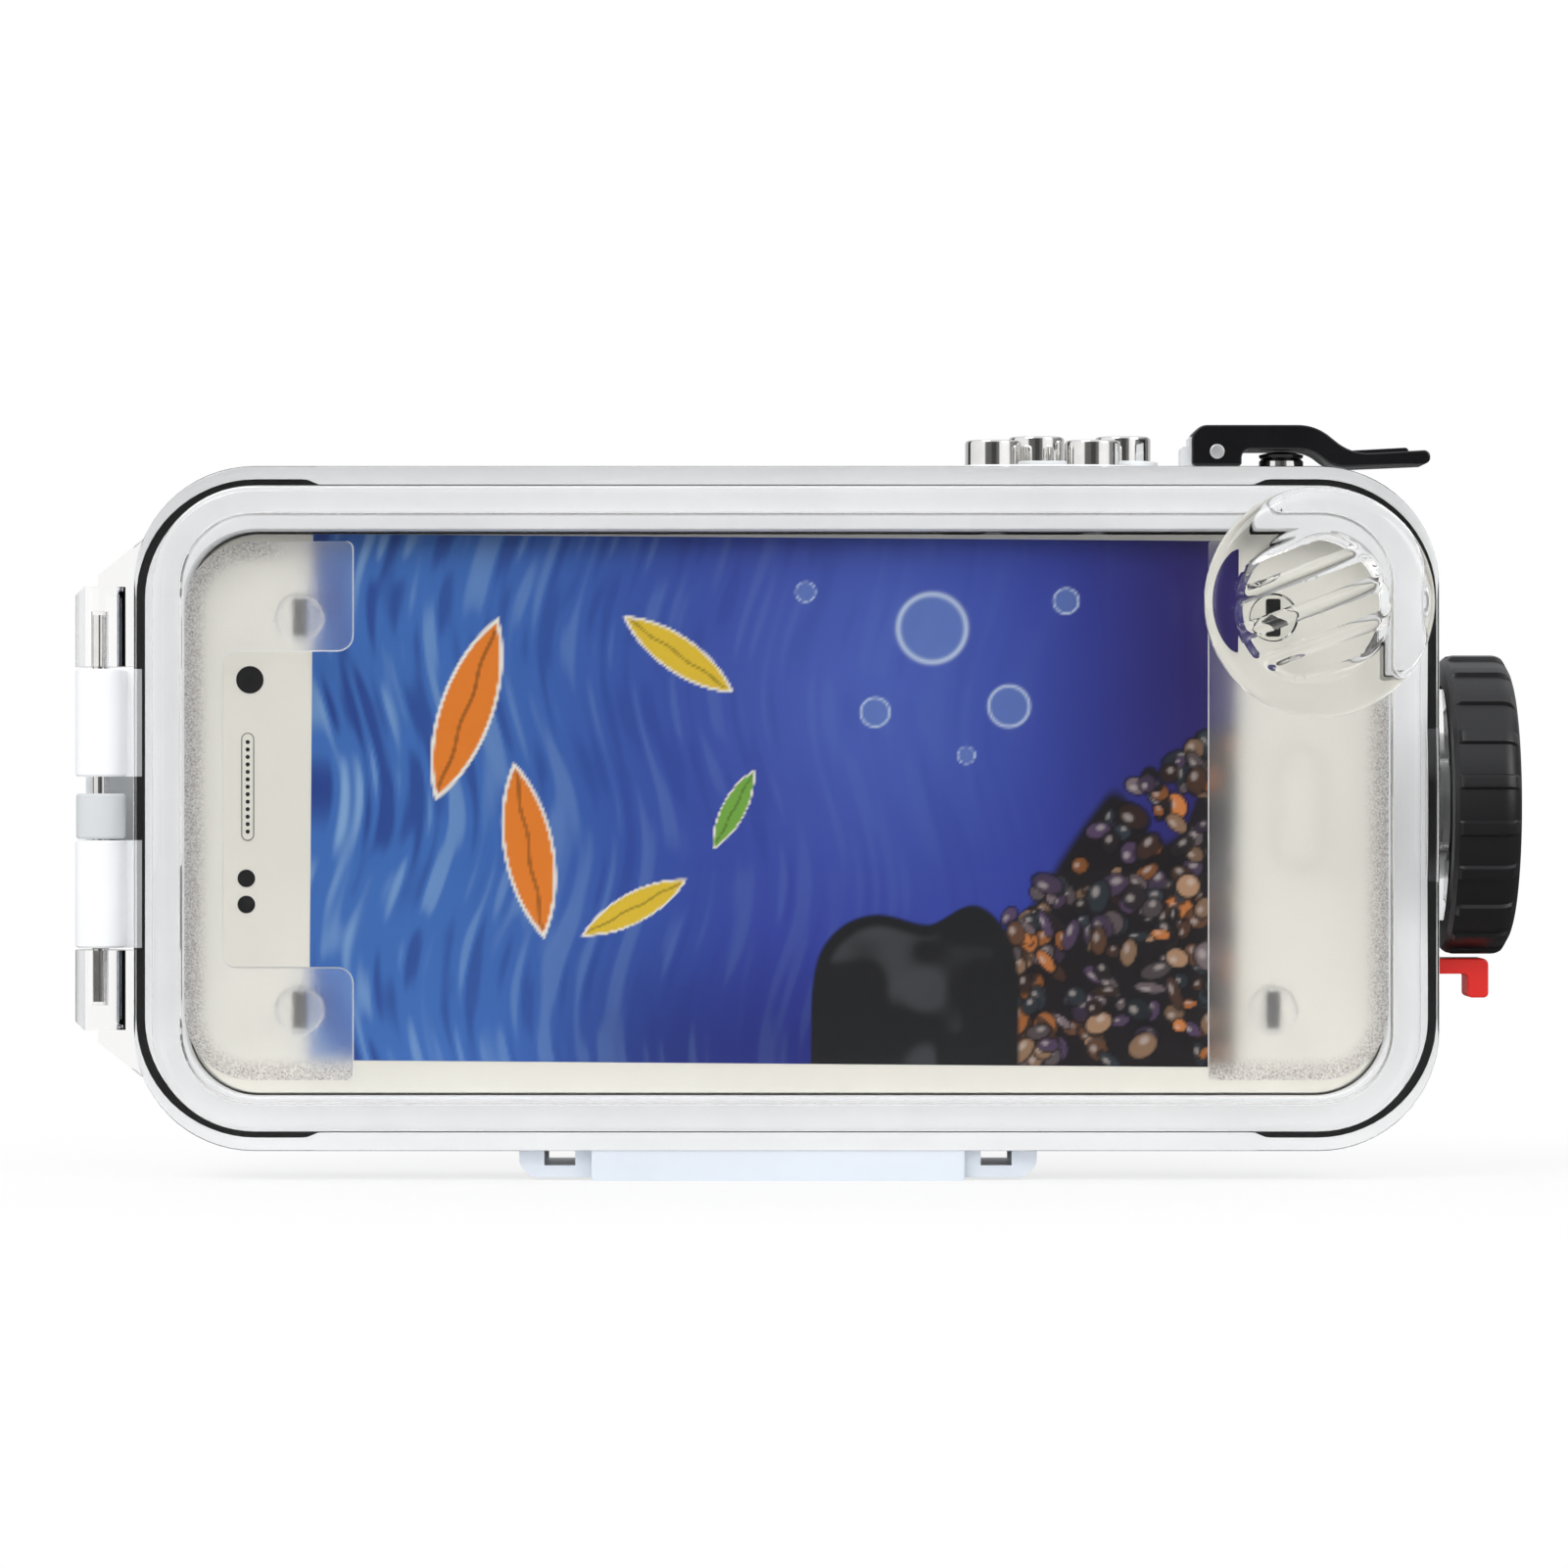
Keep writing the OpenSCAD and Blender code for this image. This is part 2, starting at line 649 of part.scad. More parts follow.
module back_shell() color("#e6ebee") difference() {
    union() {
        soft_slab(body_w, body_h, corner_r, y_part, y_back, back_edge_r, 1, 0, z_mid);
        foot();
        knuckles();
        button_boss(button_x[0], button_x[2], button_y[0], front_boss_h, button_r + 1.1);
        button_boss(button_x[1], button_x[3], button_y[1], rear_boss_h, button_r + 1.1);
        lever_bracket();
        rod_x(knob_boss_r, x_end - 1, knob_x + knob_hub, knob_y, knob_z);
        grip_ribs();
        soft_slab(64, 40, 5, y_back - 1, y_back + 0.9, 0.6, 1, -14, z_top - 30);
        rod_y(vac_cap_r + 2, y_back - 1, y_back + vac_pad, vac_x, vac_z);
        rod_y(spigot_r, y_back, y_back + vac_pad + spigot_h, vac_x, vac_z);
    }
    slab(2 * bay_x, bay_h, bay_r, y_part - 1, y_floor, 0, bay_mid);
    seal_ring(seal_end_in - 0.02, seal_w + 0.04, y_part - 1, y_part + 0.12 + seal_h);
    slab(camera_w + 6, camera_h + 6, 6, y_floor - 1, y_back + 1, camera_x, camera_z);
    rod_z(hinge_pin_r + run_gap, z_mid - 24, z_mid + 24, hinge_x, hinge_y);
    for (i = [0:3]) button_hole(button_x[i], button_y[i], button_seat[i], button_r);
    button_hole(plunger_x, 0, z_top, plunger_r);
    rod_y(pivot_r, -lug_w, lug_w, pivot_x, pivot_z);
    lever_relief();
    rod_x(screw_r, bay_x + 2, knob_x + 10, knob_y, knob_z);
    lock_well_cut();
    rod_y(3.1, y_floor - 1, y_back + 20, vac_x, vac_z);
    rod_y(5.8, y_back + vac_pad + spigot_h - 1.6, y_back + 20, vac_x, vac_z);
    block_screw_places() translate([0, 0, -2.2]) cylinder(h = 4, r = 0.9);
    gasket_ring(y_back - gasket_t - 0.02, y_back + 0.5, 0.02);
    rod_z(insert_r, -1, tripod_l, 0, 0);
}

module tripod_insert() color("#b08d4a") difference() {
    rod_z(insert_r, 0, tripod_l, 0, 0);
    rod_z(tripod_r, -1, tripod_l + 1, 0, 0);
}

// Hinge

module hinge_pin() color("#c9ccd0")
    rod_z(hinge_pin_r, z_mid - hinge_pin_l / 2, z_mid + hinge_pin_l / 2, hinge_x, hinge_y);

module hinge_sleeve() color("#c9cdd0") difference() {
    rod_z(knuckle_r - 0.1, z_mid - knuckle_low + fit_gap, z_mid - knuckle_low + fit_gap + sleeve_l,
        hinge_x, hinge_y);
    rod_z(hinge_pin_r + run_gap, z_mid - 20, z_mid + 20, hinge_x, hinge_y);
}

// Latch knob

module knob_profile() {
    core = knob_r - knob_rib_h;
    edge = 2.6;
    polygon(concat([[knob_boss_r + run_gap, 0], [core - 0.6, 0], [core, 0.6], [core, knob_t - edge]],
        arc(core - edge, knob_t - edge, edge, 15, 90, 5),
        [[core - 5, knob_t - 1], [9, knob_t - 1.4], [9, knob_t - 0.4], [screw_head_r + 1.6, knob_t - 0.4],
         [screw_head_r + 0.6, knob_t - 1.2], [screw_head_r + 0.6, knob_hub + knob_web],
         [screw_r + run_gap, knob_hub + knob_web], [screw_r + run_gap, knob_hub + run_gap],
         [knob_boss_r + run_gap, knob_hub + run_gap]]));
}

module latch_knob() color("#1d1d1f")
    translate([knob_x, knob_y, knob_z]) rotate([0, 90, 0]) difference() {
        union() {
            rotate_extrude() knob_profile();
            // Grip ribs across the rim
            for (i = [0:knob_ribs - 1]) rotate(i * 360 / knob_ribs)
                translate([knob_r - knob_rib_h - 0.6, -1.1, 0.8]) cube([knob_rib_h + 0.5, 2.2, knob_t - 3]);
        }
        // Cam groove in the inner face
        translate([0, 0, -1]) difference() {
            cylinder(h = 3.4, r = knob_r - 4.4);
            translate([0, 0, -1]) cylinder(h = 5, r = knob_r - 9.4);
        }
        // Mark on the rim
        translate([-knob_r - 1, -1.6, knob_t - 3.2]) cube([2.4, 3.2, 4]);
    }

module knob_screw() color("#c9ccd0") {
    seat_x = knob_x + knob_hub + knob_web + washer_t + 0.1;
    shank = seat_x - bay_x - 2.3;
    translate([seat_x, knob_y, knob_z]) rotate([0, 90, 0])
        difference() {
            rotate_extrude() polygon([[0, -shank], [screw_r - 0.6, -shank], [screw_r - 0.02, 0.6 - shank],
                [screw_r - 0.02, 0], [screw_head_r, 0], [screw_head_r, screw_head_h - 0.9],
                [screw_head_r - 1.1, screw_head_h], [0, screw_head_h]]);
            translate([0, 0, screw_head_h - 1]) cylinder(h = 2, r = 1.45, $fn = 6);
        }
    }

module knob_washer() color("#b9bcc0")
    translate([knob_x + knob_hub + knob_web + 0.1, knob_y, knob_z]) rotate([0, 90, 0]) difference() {
        cylinder(h = washer_t, r = screw_head_r + 0.4);
        translate([0, 0, -1]) cylinder(h = washer_t + 2, r = screw_r + 0.02);
    }

// Lock

module lock_slider() color("#e2231a") difference() {
    union() {
        box(x_end - lock_foot_x, x_end - 0.3, -lock_w / 2 + 0.1, lock_w / 2 - 0.1,
            lock_top - lock_leg, lock_top);
        box(x_end - 1, x_end + lock_out - 0.8, -lock_w / 2 + 0.1, lock_w / 2 - 0.1,
            lock_top - lock_t, lock_top);
        translate([0, lock_w / 2 - 0.1, 0]) rotate([90, 0, 0]) linear_extrude(lock_w - 0.2)
            polygon(concat([[x_end + lock_out - 3, lock_top]],
                arc(x_end + lock_out - 0.8, lock_top - 0.8, 0.8, 90, 0, 4),
                arc(x_end + lock_out - 0.8, lock_top - lock_leg + 0.8, 0.8, 0, -90, 4),
                arc(x_end + lock_out - 2.2, lock_top - lock_leg + 0.8, 0.8, 270, 180, 4)));
    }
    rod_z(lock_pin_r + run_gap, lock_top - 20, lock_top + 5, lock_x, 0);
}

module lock_pin() color("#c9ccd0")
    rod_z(lock_pin_r - 0.01, lock_floor - 1.9, lock_top + 1.4, lock_x, 0);

module lock_spring() color("#aeb1b5")
    translate([lock_x, 0, lock_floor + 0.02])
        coil(lock_pin_r + 0.55, 0.2, lock_top - lock_leg - lock_floor - 0.04, 4);

// Buttons

// A turned cap on a shaft, with grooves for the seal and the clip
module push_part(top, cap_bottom, cap_r, tip) {
    seal_z = bay_top + 2.2;
    clip_z = bay_top - clip_slot - 0.1;
    rotate_extrude() polygon([[0, top - 0.3], [cap_r - 1.2, top - 0.3], [cap_r - 0.9, top],
        [cap_r - 0.45, top], [cap_r, top - 0.45], [cap_r, cap_bottom + 0.2],
        [cap_r - 0.2, cap_bottom], [shaft_r, cap_bottom], [shaft_r, seal_z + seal_slot],
        [neck_r, seal_z + seal_slot], [neck_r, seal_z], [shaft_r, seal_z],
        [shaft_r, clip_z + clip_slot], [neck_r, clip_z + clip_slot], [neck_r, clip_z],
        [shaft_r - 0.3, clip_z], [shaft_r - 0.3, tip + 0.3], [shaft_r - 0.6, tip], [0, tip]]);
}

module button(i) color("#c4c7cb")
    translate([button_x[i], button_y[i], 0])
        push_part(button_seat[i] + button_up, button_seat[i] - 0.7, button_r, bay_top - tip_drop);

module push_seal() color("#151517")
    o_ring((neck_r + shaft_r) / 2 + 0.02, (shaft_r - neck_r) / 2 + 0.01, bay_top + 2.2 + seal_slot / 2);

module push_clip() color("#aeb1b5") clip(bay_top - clip_slot - 0.05);

module push_spring(floor_z, roof_z) color("#aeb1b5")
    translate([0, 0, floor_z + 0.02]) coil(spring_r, 0.28, roof_z - floor_z - 0.04, 4);

module at_button(i) translate([button_x[i], button_y[i], 0]) children();

// Shutter lever

module shutter_lever() {
    left = pivot_x - lever_back;
    top = pivot_z + lever_rise;
    tail_top = pivot_z - 0.1;
    tail_low = tail_top - tail_t;
    tail_end = x_end - 0.6;
    color("#1d1d1f") difference() {
        union() {
            translate([0, lever_w / 2, 0]) rotate([90, 0, 0]) linear_extrude(lever_w)
                polygon(concat([[left, z_top + 0.6]],
                    arc(left + lever_round, top - lever_round, lever_round, 180, 90, 4),
                    arc(pivot_x + lever_flat, top - elbow_r, elbow_r, 90, 48, 3),
                    arc(pivot_x + lever_knee, tail_top + knee_r, knee_r, 228, 275, 3),
                    arc(tail_end - tail_t / 2, tail_low + tail_t / 2 + 0.1, tail_t / 2, 85, -85, 5),
                    arc(pivot_x + lever_heel, tail_low + knee_r - 0.1, knee_r - 0.1, 270, 232, 3),
                    arc(pivot_x + lever_under, lever_roof - knee_r + 0.1, knee_r - 0.1, 50, 90, 3),
                    arc(pivot_x + lever_cheek + 0.8, lever_roof - 0.8, 0.8, 90, 180, 3),
                    [[pivot_x + lever_cheek, z_top + 0.6]]));
            // Thin grip pad on the tail
            for (i = [0:7])
                box(tail_end - 11.4 + 1.2 * i, tail_end - 10.7 + 1.2 * i, -lever_w / 2 + 1.2,
                    lever_w / 2 - 1.2, tail_top - 0.4, tail_top + 0.35);
        }
        box(left - 1, pivot_x + 2.9, -lug_w / 2 - fit_gap, lug_w / 2 + fit_gap, z_top - 1, pivot_z + 2.55);
        rod_y(pivot_r + run_gap, -lever_w, lever_w, pivot_x, pivot_z);
    }
}

module lever_pin() color("#c9ccd0")
    rod_y(pivot_r, -lever_w / 2 - 0.1, lever_w / 2 + 0.1, pivot_x, pivot_z);

module shutter_plunger() color("#c4c7cb") translate([plunger_x, 0, 0])
    push_part(plunger_top - 1.2, z_top - 0.7, plunger_r, bay_top - tip_drop);

module plunger_cap() color("#1d1d1f") translate([plunger_x, 0, plunger_top])
    rotate_extrude() polygon(concat([[0, -1.5], [plunger_r - 1.2, -1.5], [plunger_r - 0.9, -1.2]],
        [for (i = [0:6]) let (r = plunger_r * (1 - i / 6)) [r, sqrt(dome_r * dome_r - r * r) - dome_r]]));

// Camera window

module gasket_ring(y0, y1, grow = 0) difference() {
    slab(block_w - 14 + grow * 2, block_h - 3 + grow * 2, 7, y0, y1, block_x, block_z);
    slab(block_w - 17 - grow * 2, block_h - 6 - grow * 2, 5.5, y0 - 1, y1 + 1, block_x, block_z);
}

module block_gasket() color("#151517") gasket_ring(y_back - gasket_t, y_back);

module camera_block() color("#e6ebee") difference() {
    soft_slab(block_w, block_h, 9, y_back, y_block, 2, 1, block_x, block_z);
    slab(camera_w + 8, camera_h + 8, 7, y_back + seat_lip, y_block + 1, camera_x, camera_z);
    slab(camera_w + 3, camera_h + 3, 5.5, y_back - 1, y_block + 1, camera_x, camera_z);
    block_screw_places() {
        translate([0, 0, -1]) cylinder(h = block_d + 3, r = 1.15);
        translate([0, 0, block_d - 2]) cylinder(h = 4, r = 2.1);
    }
    for (side = [-1, 1])
        box(insert_x - insert_w / 2 - 0.1, insert_x + insert_w / 2 + 0.1, insert_y - 0.1,
            insert_y + insert_d + 0.1, block_z + side * block_h / 2 - insert_deep,
            block_z + side * block_h / 2 + insert_deep);
}

module glass_gasket() color("#151517") difference() {
    y = y_back + seat_lip;
    slab(camera_w + 7.6, camera_h + 7.6, 6.8, y, y + gasket_t, camera_x, camera_z);
    slab(camera_w + 3, camera_h + 3, 5.5, y - 1, y + gasket_t + 1, camera_x, camera_z);
}

module camera_glass() color([0.8, 0.9, 0.95, 0.3])
    slab(camera_w + 7.6, camera_h + 7.6, 6.8, y_back + seat_lip + gasket_t,
        y_back + seat_lip + gasket_t + glass_t, camera_x, camera_z);

module camera_bezel() color("#1d1d1f") difference() {
    y = y_back + seat_lip + gasket_t + glass_t;
    slab(camera_w + 7.8, camera_h + 7.8, 6.9, y, y + bezel_t, camera_x, camera_z);
    slab(camera_w, camera_h, 4.5, y - 1, y_block + 1, camera_x, camera_z);
}

module block_screws() color("#aeb1b5") block_screw_places() difference() {
    rotate_extrude() polygon([[0, -2], [0.88, -2], [0.88, 2], [1.05, 2.2], [1.05, block_d - 2],
        [1.95, block_d - 2], [1.95, block_d - 1.1], [1.5, block_d - 0.6], [0, block_d - 0.6]]);
    translate([0, 0, block_d - 1.5]) cylinder(h = 2, r = 0.8, $fn = 6);
}

module side_inserts() color("#e2471f") for (side = [-1, 1]) {
    face = block_z + side * (block_h / 2 + 0.5);
    root = block_z + side * (block_h / 2 - insert_deep);
    box(insert_x - insert_w / 2, insert_x + insert_w / 2, insert_y, insert_y + insert_d,
        min(face, root), max(face, root));
}

// Vacuum valve

module vacuum_cap() color("#1d1d1f")
    translate([vac_x, y_back + vac_pad + 0.15, vac_z]) rotate([-90, 0, 0]) difference() {
        rotate_extrude() polygon(concat([[spigot_r + pass_gap, 0], [vac_cap_r - 0.5, 0],
            [vac_cap_r, 0.5], [vac_cap_r, vac_cap_h - 1.5]],
            arc(vac_cap_r - 1.5, vac_cap_h - 1.5, 1.5, 18, 90, 4),
            [[8.6, vac_cap_h], [8, vac_cap_h - 0.6], [0, vac_cap_h - 0.6], [0, spigot_h + 0.9],
             [spigot_r + pass_gap, spigot_h + 0.9]]));
        for (i = [0:23]) rotate(i * 15) translate([vac_cap_r + 0.35, 0, 1.4])
            cylinder(h = vac_cap_h, r = 0.8, $fn = 16);
        // Slot for a coin
        translate([-6, -0.9, vac_cap_h - 1.3]) cube([12, 1.8, 2]);
    }

module cap_seal() color("#8c1f1b")
    translate([vac_x, y_back + vac_pad + spigot_h + 0.05, vac_z]) rotate([-90, 0, 0]) difference() {
        cylinder(h = 0.95, r = spigot_r);
        translate([0, 0, -1]) cylinder(h = 3, r = spigot_r - 2.4);
    }

module vacuum_valve() color("#2b2b2e")
    translate([vac_x, y_back + vac_pad + spigot_h, vac_z]) rotate([-90, 0, 0]) rotate_extrude()
        polygon([[0.8, -8], [2.95, -8], [2.95, -1.6], [5.6, -1.6], [5.6, -1], [3.4, -0.1], [0.8, -0.1]]);

// Inside the bay

module phone_tray() color("#e9e7df") difference() {
    slab(2 * bay_x - 2 * fit_gap, bay_h - 2 * fit_gap, bay_r - fit_gap, y_tray, y_floor, 0, bay_mid);
    difference() {
        slab(2 * bay_x - 2 * fit_gap - 2.8, bay_h - 2 * fit_gap - 2.8, bay_r - fit_gap - 1.4,
            y_tray + tray_t, y_floor + 1, 0, bay_mid);
        // Shelf that carries the control board
        box(board_x0, board_x1, y_tray, y_floor, board_z - 1.4, board_z);
        // Tunnel to the camera window
        slab(camera_w + 9, camera_h + 9, 7.5, y_tray, y_floor, camera_x, camera_z);
        // Cup for the coin cell
        rod_y(cell_r + 1.8, y_tray, y_tray + cell_deep + 1.4, cell_x, cell_z);
    }
    slab(camera_w + 6, camera_h + 6, 6, y_tray - 1, y_floor + 1, camera_x, camera_z);
    rod_y(cell_r + 0.6, y_tray - 1, y_tray + cell_deep, cell_x, cell_z);
    box(board_x0, board_x1, y_tray - 1, y_floor + 1, board_z + 0.01, bay_top + 1);
}

module coin_cell() color("#c9ccd0")
    translate([cell_x, y_tray + cell_cover_t + 0.1, cell_z]) rotate([-90, 0, 0]) rotate_extrude()
        polygon([[0, 0], [cell_r - 1.6, 0], [cell_r - 1.4, 0.25], [cell_r - 0.3, 0.25], [cell_r, 0.55],
            [cell_r, cell_t], [0, cell_t]]);

module cell_cover() color("#e9e7df") difference() {
    rod_y(cell_r + 0.4, y_tray + 0.05, y_tray + cell_cover_t, cell_x, cell_z);
    box(cell_x - cell_r / 2, cell_x + cell_r / 2, y_tray - 1, y_tray + 0.8, cell_z - 0.8, cell_z + 0.8);
}

module control_board() color("#1f6b3a") difference() {
    box(board_x0 + 0.5, board_x1 - 0.5, y_floor - board_d - board_gap, y_floor - board_gap, board_z + 0.02,
        board_z + board_t);
    for (x = [board_x0 + board_hole_in, board_x1 - board_hole_in])
        rod_z(board_screw_r + 0.1, board_z - 1, board_z + board_t + 1, x, board_hole_y);
}

module board_screws() color("#aeb1b5") for (x = [board_x0 + board_hole_in, board_x1 - board_hole_in])
    translate([x, board_hole_y, board_z + board_t]) rotate_extrude()
        polygon([[0, -board_t], [board_screw_r, -board_t], [board_screw_r, 0], [2 * board_screw_r, 0],
            [2 * board_screw_r, 0.7], [2 * board_screw_r - 0.5, 1.1], [0, 1.1]]);

// A push switch stands under each shaft
module push_switches() {
    xs = concat(button_x, [plunger_x]);
    ys = concat(button_y, [0]);
    tip = bay_top - tip_drop - button_travel - 0.05;
    color("#2b2b2e") for (i = [0:4]) {
        box(xs[i] - switch_w / 2, xs[i] + switch_w / 2, ys[i] - switch_w / 2, ys[i] + switch_w / 2,
            board_z + board_t, tip - 0.5);
        rod_z(switch_stem_r, board_z + board_t, tip, xs[i], ys[i]);
    }
}

module display_card() color("#dfe2e4")
    slab(2 * bay_x - 2.4, bay_h - 1.6, bay_r - 0.8, y_card, y_tray - 0.02, 0, bay_mid);

front_cover();
back_shell();
main_seal();
hinge_pin();
hinge_sleeve();
latch_knob();
knob_screw();
knob_washer();
lock_slider();
lock_pin();
lock_spring();
for (i = [0:3]) {
    n = str(i + 1);
    button(i);
    at_button(i) push_seal();
    at_button(i) push_clip();
    at_button(i) push_spring(button_seat[i] - spring_well, button_seat[i] - 0.7);
    bumper(i);
}
shutter_lever();
lever_pin();
shutter_plunger();
plunger_cap();
translate([plunger_x, 0, 0]) push_seal();  // plunger_seal
translate([plunger_x, 0, 0]) push_clip();  // plunger_clip
translate([plunger_x, 0, 0]) push_spring(z_top - spring_well, z_top - 0.7);  // plunger_spring
camera_block();
block_gasket();
camera_glass();
glass_gasket();
camera_bezel();
block_screws();
side_inserts();
vacuum_cap();
cap_seal();
vacuum_valve();
phone_tray();
control_board();
board_screws();
push_switches();
coin_cell();
cell_cover();
display_card();
tripod_insert();
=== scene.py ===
"""A waterproof diving case for a phone: a clear hinged cover on a white shell, with a knob latch, turned
buttons, a shutter lever, a camera window and a foot. The sections follow the case as it is put together.
Sizes are in millimetres, as on the maker's drawing, and solid() turns them into metres."""
import math

import bmesh
import bpy
import numpy as np
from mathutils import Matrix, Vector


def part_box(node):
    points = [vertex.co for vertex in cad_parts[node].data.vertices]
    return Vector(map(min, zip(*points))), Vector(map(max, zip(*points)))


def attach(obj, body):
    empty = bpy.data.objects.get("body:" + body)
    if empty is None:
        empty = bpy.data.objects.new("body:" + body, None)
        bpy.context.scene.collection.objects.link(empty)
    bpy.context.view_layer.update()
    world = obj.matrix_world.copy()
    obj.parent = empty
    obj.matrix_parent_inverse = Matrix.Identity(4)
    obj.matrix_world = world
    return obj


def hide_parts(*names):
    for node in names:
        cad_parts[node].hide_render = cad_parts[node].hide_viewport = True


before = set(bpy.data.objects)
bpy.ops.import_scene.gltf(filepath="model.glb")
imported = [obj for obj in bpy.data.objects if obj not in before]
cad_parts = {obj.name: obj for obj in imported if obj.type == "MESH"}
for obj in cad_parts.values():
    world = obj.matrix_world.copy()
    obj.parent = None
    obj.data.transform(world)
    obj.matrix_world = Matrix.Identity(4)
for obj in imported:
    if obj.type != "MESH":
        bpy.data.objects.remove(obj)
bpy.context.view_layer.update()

# White back shell
# One moulding of white plastic that holds everything else. Its bay takes the phone, its rim carries the seal,
# and its bosses, knuckles, bracket and foot are moulded on.
half_l, half_h, mid_z, corner_r = 92, 48.25, 52.75, 17
part_y, rim_y, back_y, floor_y = -11, -10.94, 11, 8
bay_l, bay_h, bay_z, bay_r = 85, 40, 52, 10
back_edge = 3.5
corner_steps = 16


def smooth(t):
    """0 below 0, 1 above 1, and the cubic 3t^2 - 2t^3 between."""
    t = np.clip(t, 0, 1)
    return t * t * (3 - 2 * t)


def loop(quarter):
    """A closed line from one quarter of it: the quarter, its mirror over Z, its half turn and its mirror over X."""
    x, z = quarter[:, 0], quarter[:, 1]
    return np.concatenate([np.stack(p, 1) for p in (
        (x, z), (-x[::-1], z[::-1]), (-x, -z), (x[::-1], -z[::-1]))])


side_x = np.append(np.linspace(74, 65.4, 12), np.linspace(60, 6, 10))


def case_line(inset, r=corner_r, length=half_l, height=half_h, side_inset=None):
    """A rectangle with arc corners, pulled in by inset, where side_inset(x) adds to that on the long sides."""
    turn = np.radians(np.linspace(0, 90, corner_steps + 1))
    reach = max(r - inset, 0.3)
    quarter = np.stack([length - inset - reach + reach * np.cos(turn),
                        height - inset - reach + reach * np.sin(turn)], 1)
    x = side_x * (length - inset - reach) / 75
    z = height - inset - (side_inset(side_x) if side_inset else 0 * x)
    return loop(np.concatenate([quarter, np.stack([x, z], 1)]))


def at_depth(line, y, z=mid_z, x=0):
    """The line standing in the XZ plane at depth y, with its middle at x, z."""
    return np.stack([line[:, 0] + x, np.full(len(line), float(y)), line[:, 1] + z], 1)


def skin(rings, caps=True, endless=False):
    """Quads between each ring of points and the next, with a flat face over the first and last ring, or
    with the last ring joined to the first."""
    rings = np.asarray(rings, float)
    rows, cols = rings.shape[:2]
    r, c = np.meshgrid(np.arange(rows if endless else rows - 1), np.arange(cols), indexing="ij")
    below, across = (r + 1) % rows, (c + 1) % cols
    blocks = [np.stack([r * cols + c, r * cols + across, below * cols + across, below * cols + c], -1)
              .reshape(-1, 4)]
    if caps and not endless:
        blocks += [np.arange(cols)[None, ::-1], (rows - 1) * cols + np.arange(cols)[None]]
    return rings.reshape(-1, 3), blocks


def on_axis(flat, along, axis):
    """Points of a flat outline at a place along an axis: the outline is YZ, XZ or XY."""
    out = np.insert(np.asarray(flat, float), "xyz".index(axis), along, axis=1)
    return out


def prism(outline, low, high, axis="y"):
    """A flat outline carried straight along an axis from low to high."""
    return skin([on_axis(outline, low, axis), on_axis(outline, high, axis)])


def lathe(profile, centre, axis="z", steps=96, ripple=None):
    """A profile of (radius, along) pairs turned round an axis. ripple(angle, radius, along) adds to the radius."""
    profile = np.asarray(profile, float)
    turn = np.linspace(0, 2 * np.pi, steps, endpoint=False)[None]
    r, h = profile[:, :1] + 0 * turn, profile[:, 1:] + 0 * turn
    if ripple:
        r = r + ripple(turn + 0 * r, r, h)
    a, b = r * np.cos(turn), r * np.sin(turn)
    order = {"x": (h, a, b), "y": (a, h, b), "z": (a, b, h)}[axis]
    rings = np.stack(order, -1) + np.asarray(centre, float)
    return skin(rings, caps=True)


def rounded(corners, radius, steps=6):
    """An outline whose corners are turned into arcs of the given radii, tangent to both sides."""
    corners = np.asarray(corners, float)
    radii = np.broadcast_to(radius, len(corners))
    out = []
    for i, point in enumerate(corners):
        before, after = corners[i - 1] - point, corners[(i + 1) % len(corners)] - point
        before, after = before / np.linalg.norm(before), after / np.linalg.norm(after)
        half = np.arccos(np.clip(before @ after, -1, 1)) / 2
        if radii[i] <= 0 or abs(half - np.pi / 2) < 1e-3:
            out.append(point[None])
            continue
        middle = (before + after) / np.linalg.norm(before + after)
        centre = point + middle * radii[i] / np.sin(half)
        start = point + before * radii[i] / np.tan(half) - centre
        end = point + after * radii[i] / np.tan(half) - centre
        a0 = np.arctan2(start[1], start[0])
        sweep = (np.arctan2(end[1], end[0]) - a0 + np.pi) % (2 * np.pi) - np.pi
        angle = a0 + sweep * np.linspace(0, 1, steps + 1)
        out.append(centre + radii[i] * np.stack([np.cos(angle), np.sin(angle)], 1))
    return np.concatenate(out)


def box(x0, x1, y0, y1, z0, z1):
    """A block between two corners."""
    return prism([[x0, z0], [x1, z0], [x1, z1], [x0, z1]], y0, y1)


def plate(w, h, r, y0, y1, x, z, edge=0.0):
    """A plate with arc corners that stands across Y, its far edge rounded by a quarter circle."""
    line = case_line(0, r, w / 2, h / 2)
    turn = np.radians(np.linspace(0, 90, 7))
    rings = [at_depth(line, y0, z, x)]
    sign = np.sign(y1 - y0)
    for t in (turn if edge else [0]):
        cut = edge * (1 - np.cos(t))
        rings.append(at_depth(case_line(cut, r, w / 2, h / 2), y1 - sign * edge * (1 - np.sin(t)), z, x))
    return skin(rings)


def solid(name, parts):
    """An object from closed parts, in metres, with doubles merged and faces turned outwards."""
    starts = np.cumsum([0] + [len(v) for v, _ in parts])
    faces = [f for (_, blocks), start in zip(parts, starts) for b in blocks for f in (b + start).tolist()]
    mesh = bpy.data.meshes.new(name)
    mesh.from_pydata(np.concatenate([v for v, _ in parts]) / 1000, [], faces)
    clean = bmesh.new()
    clean.from_mesh(mesh)
    bmesh.ops.remove_doubles(clean, verts=clean.verts, dist=1e-7)
    bmesh.ops.dissolve_degenerate(clean, edges=clean.edges, dist=1e-8)
    bmesh.ops.recalc_face_normals(clean, faces=clean.faces)
    clean.to_mesh(mesh)
    clean.free()
    obj = bpy.data.objects.new(name, mesh)
    bpy.context.scene.collection.objects.link(obj)
    return obj


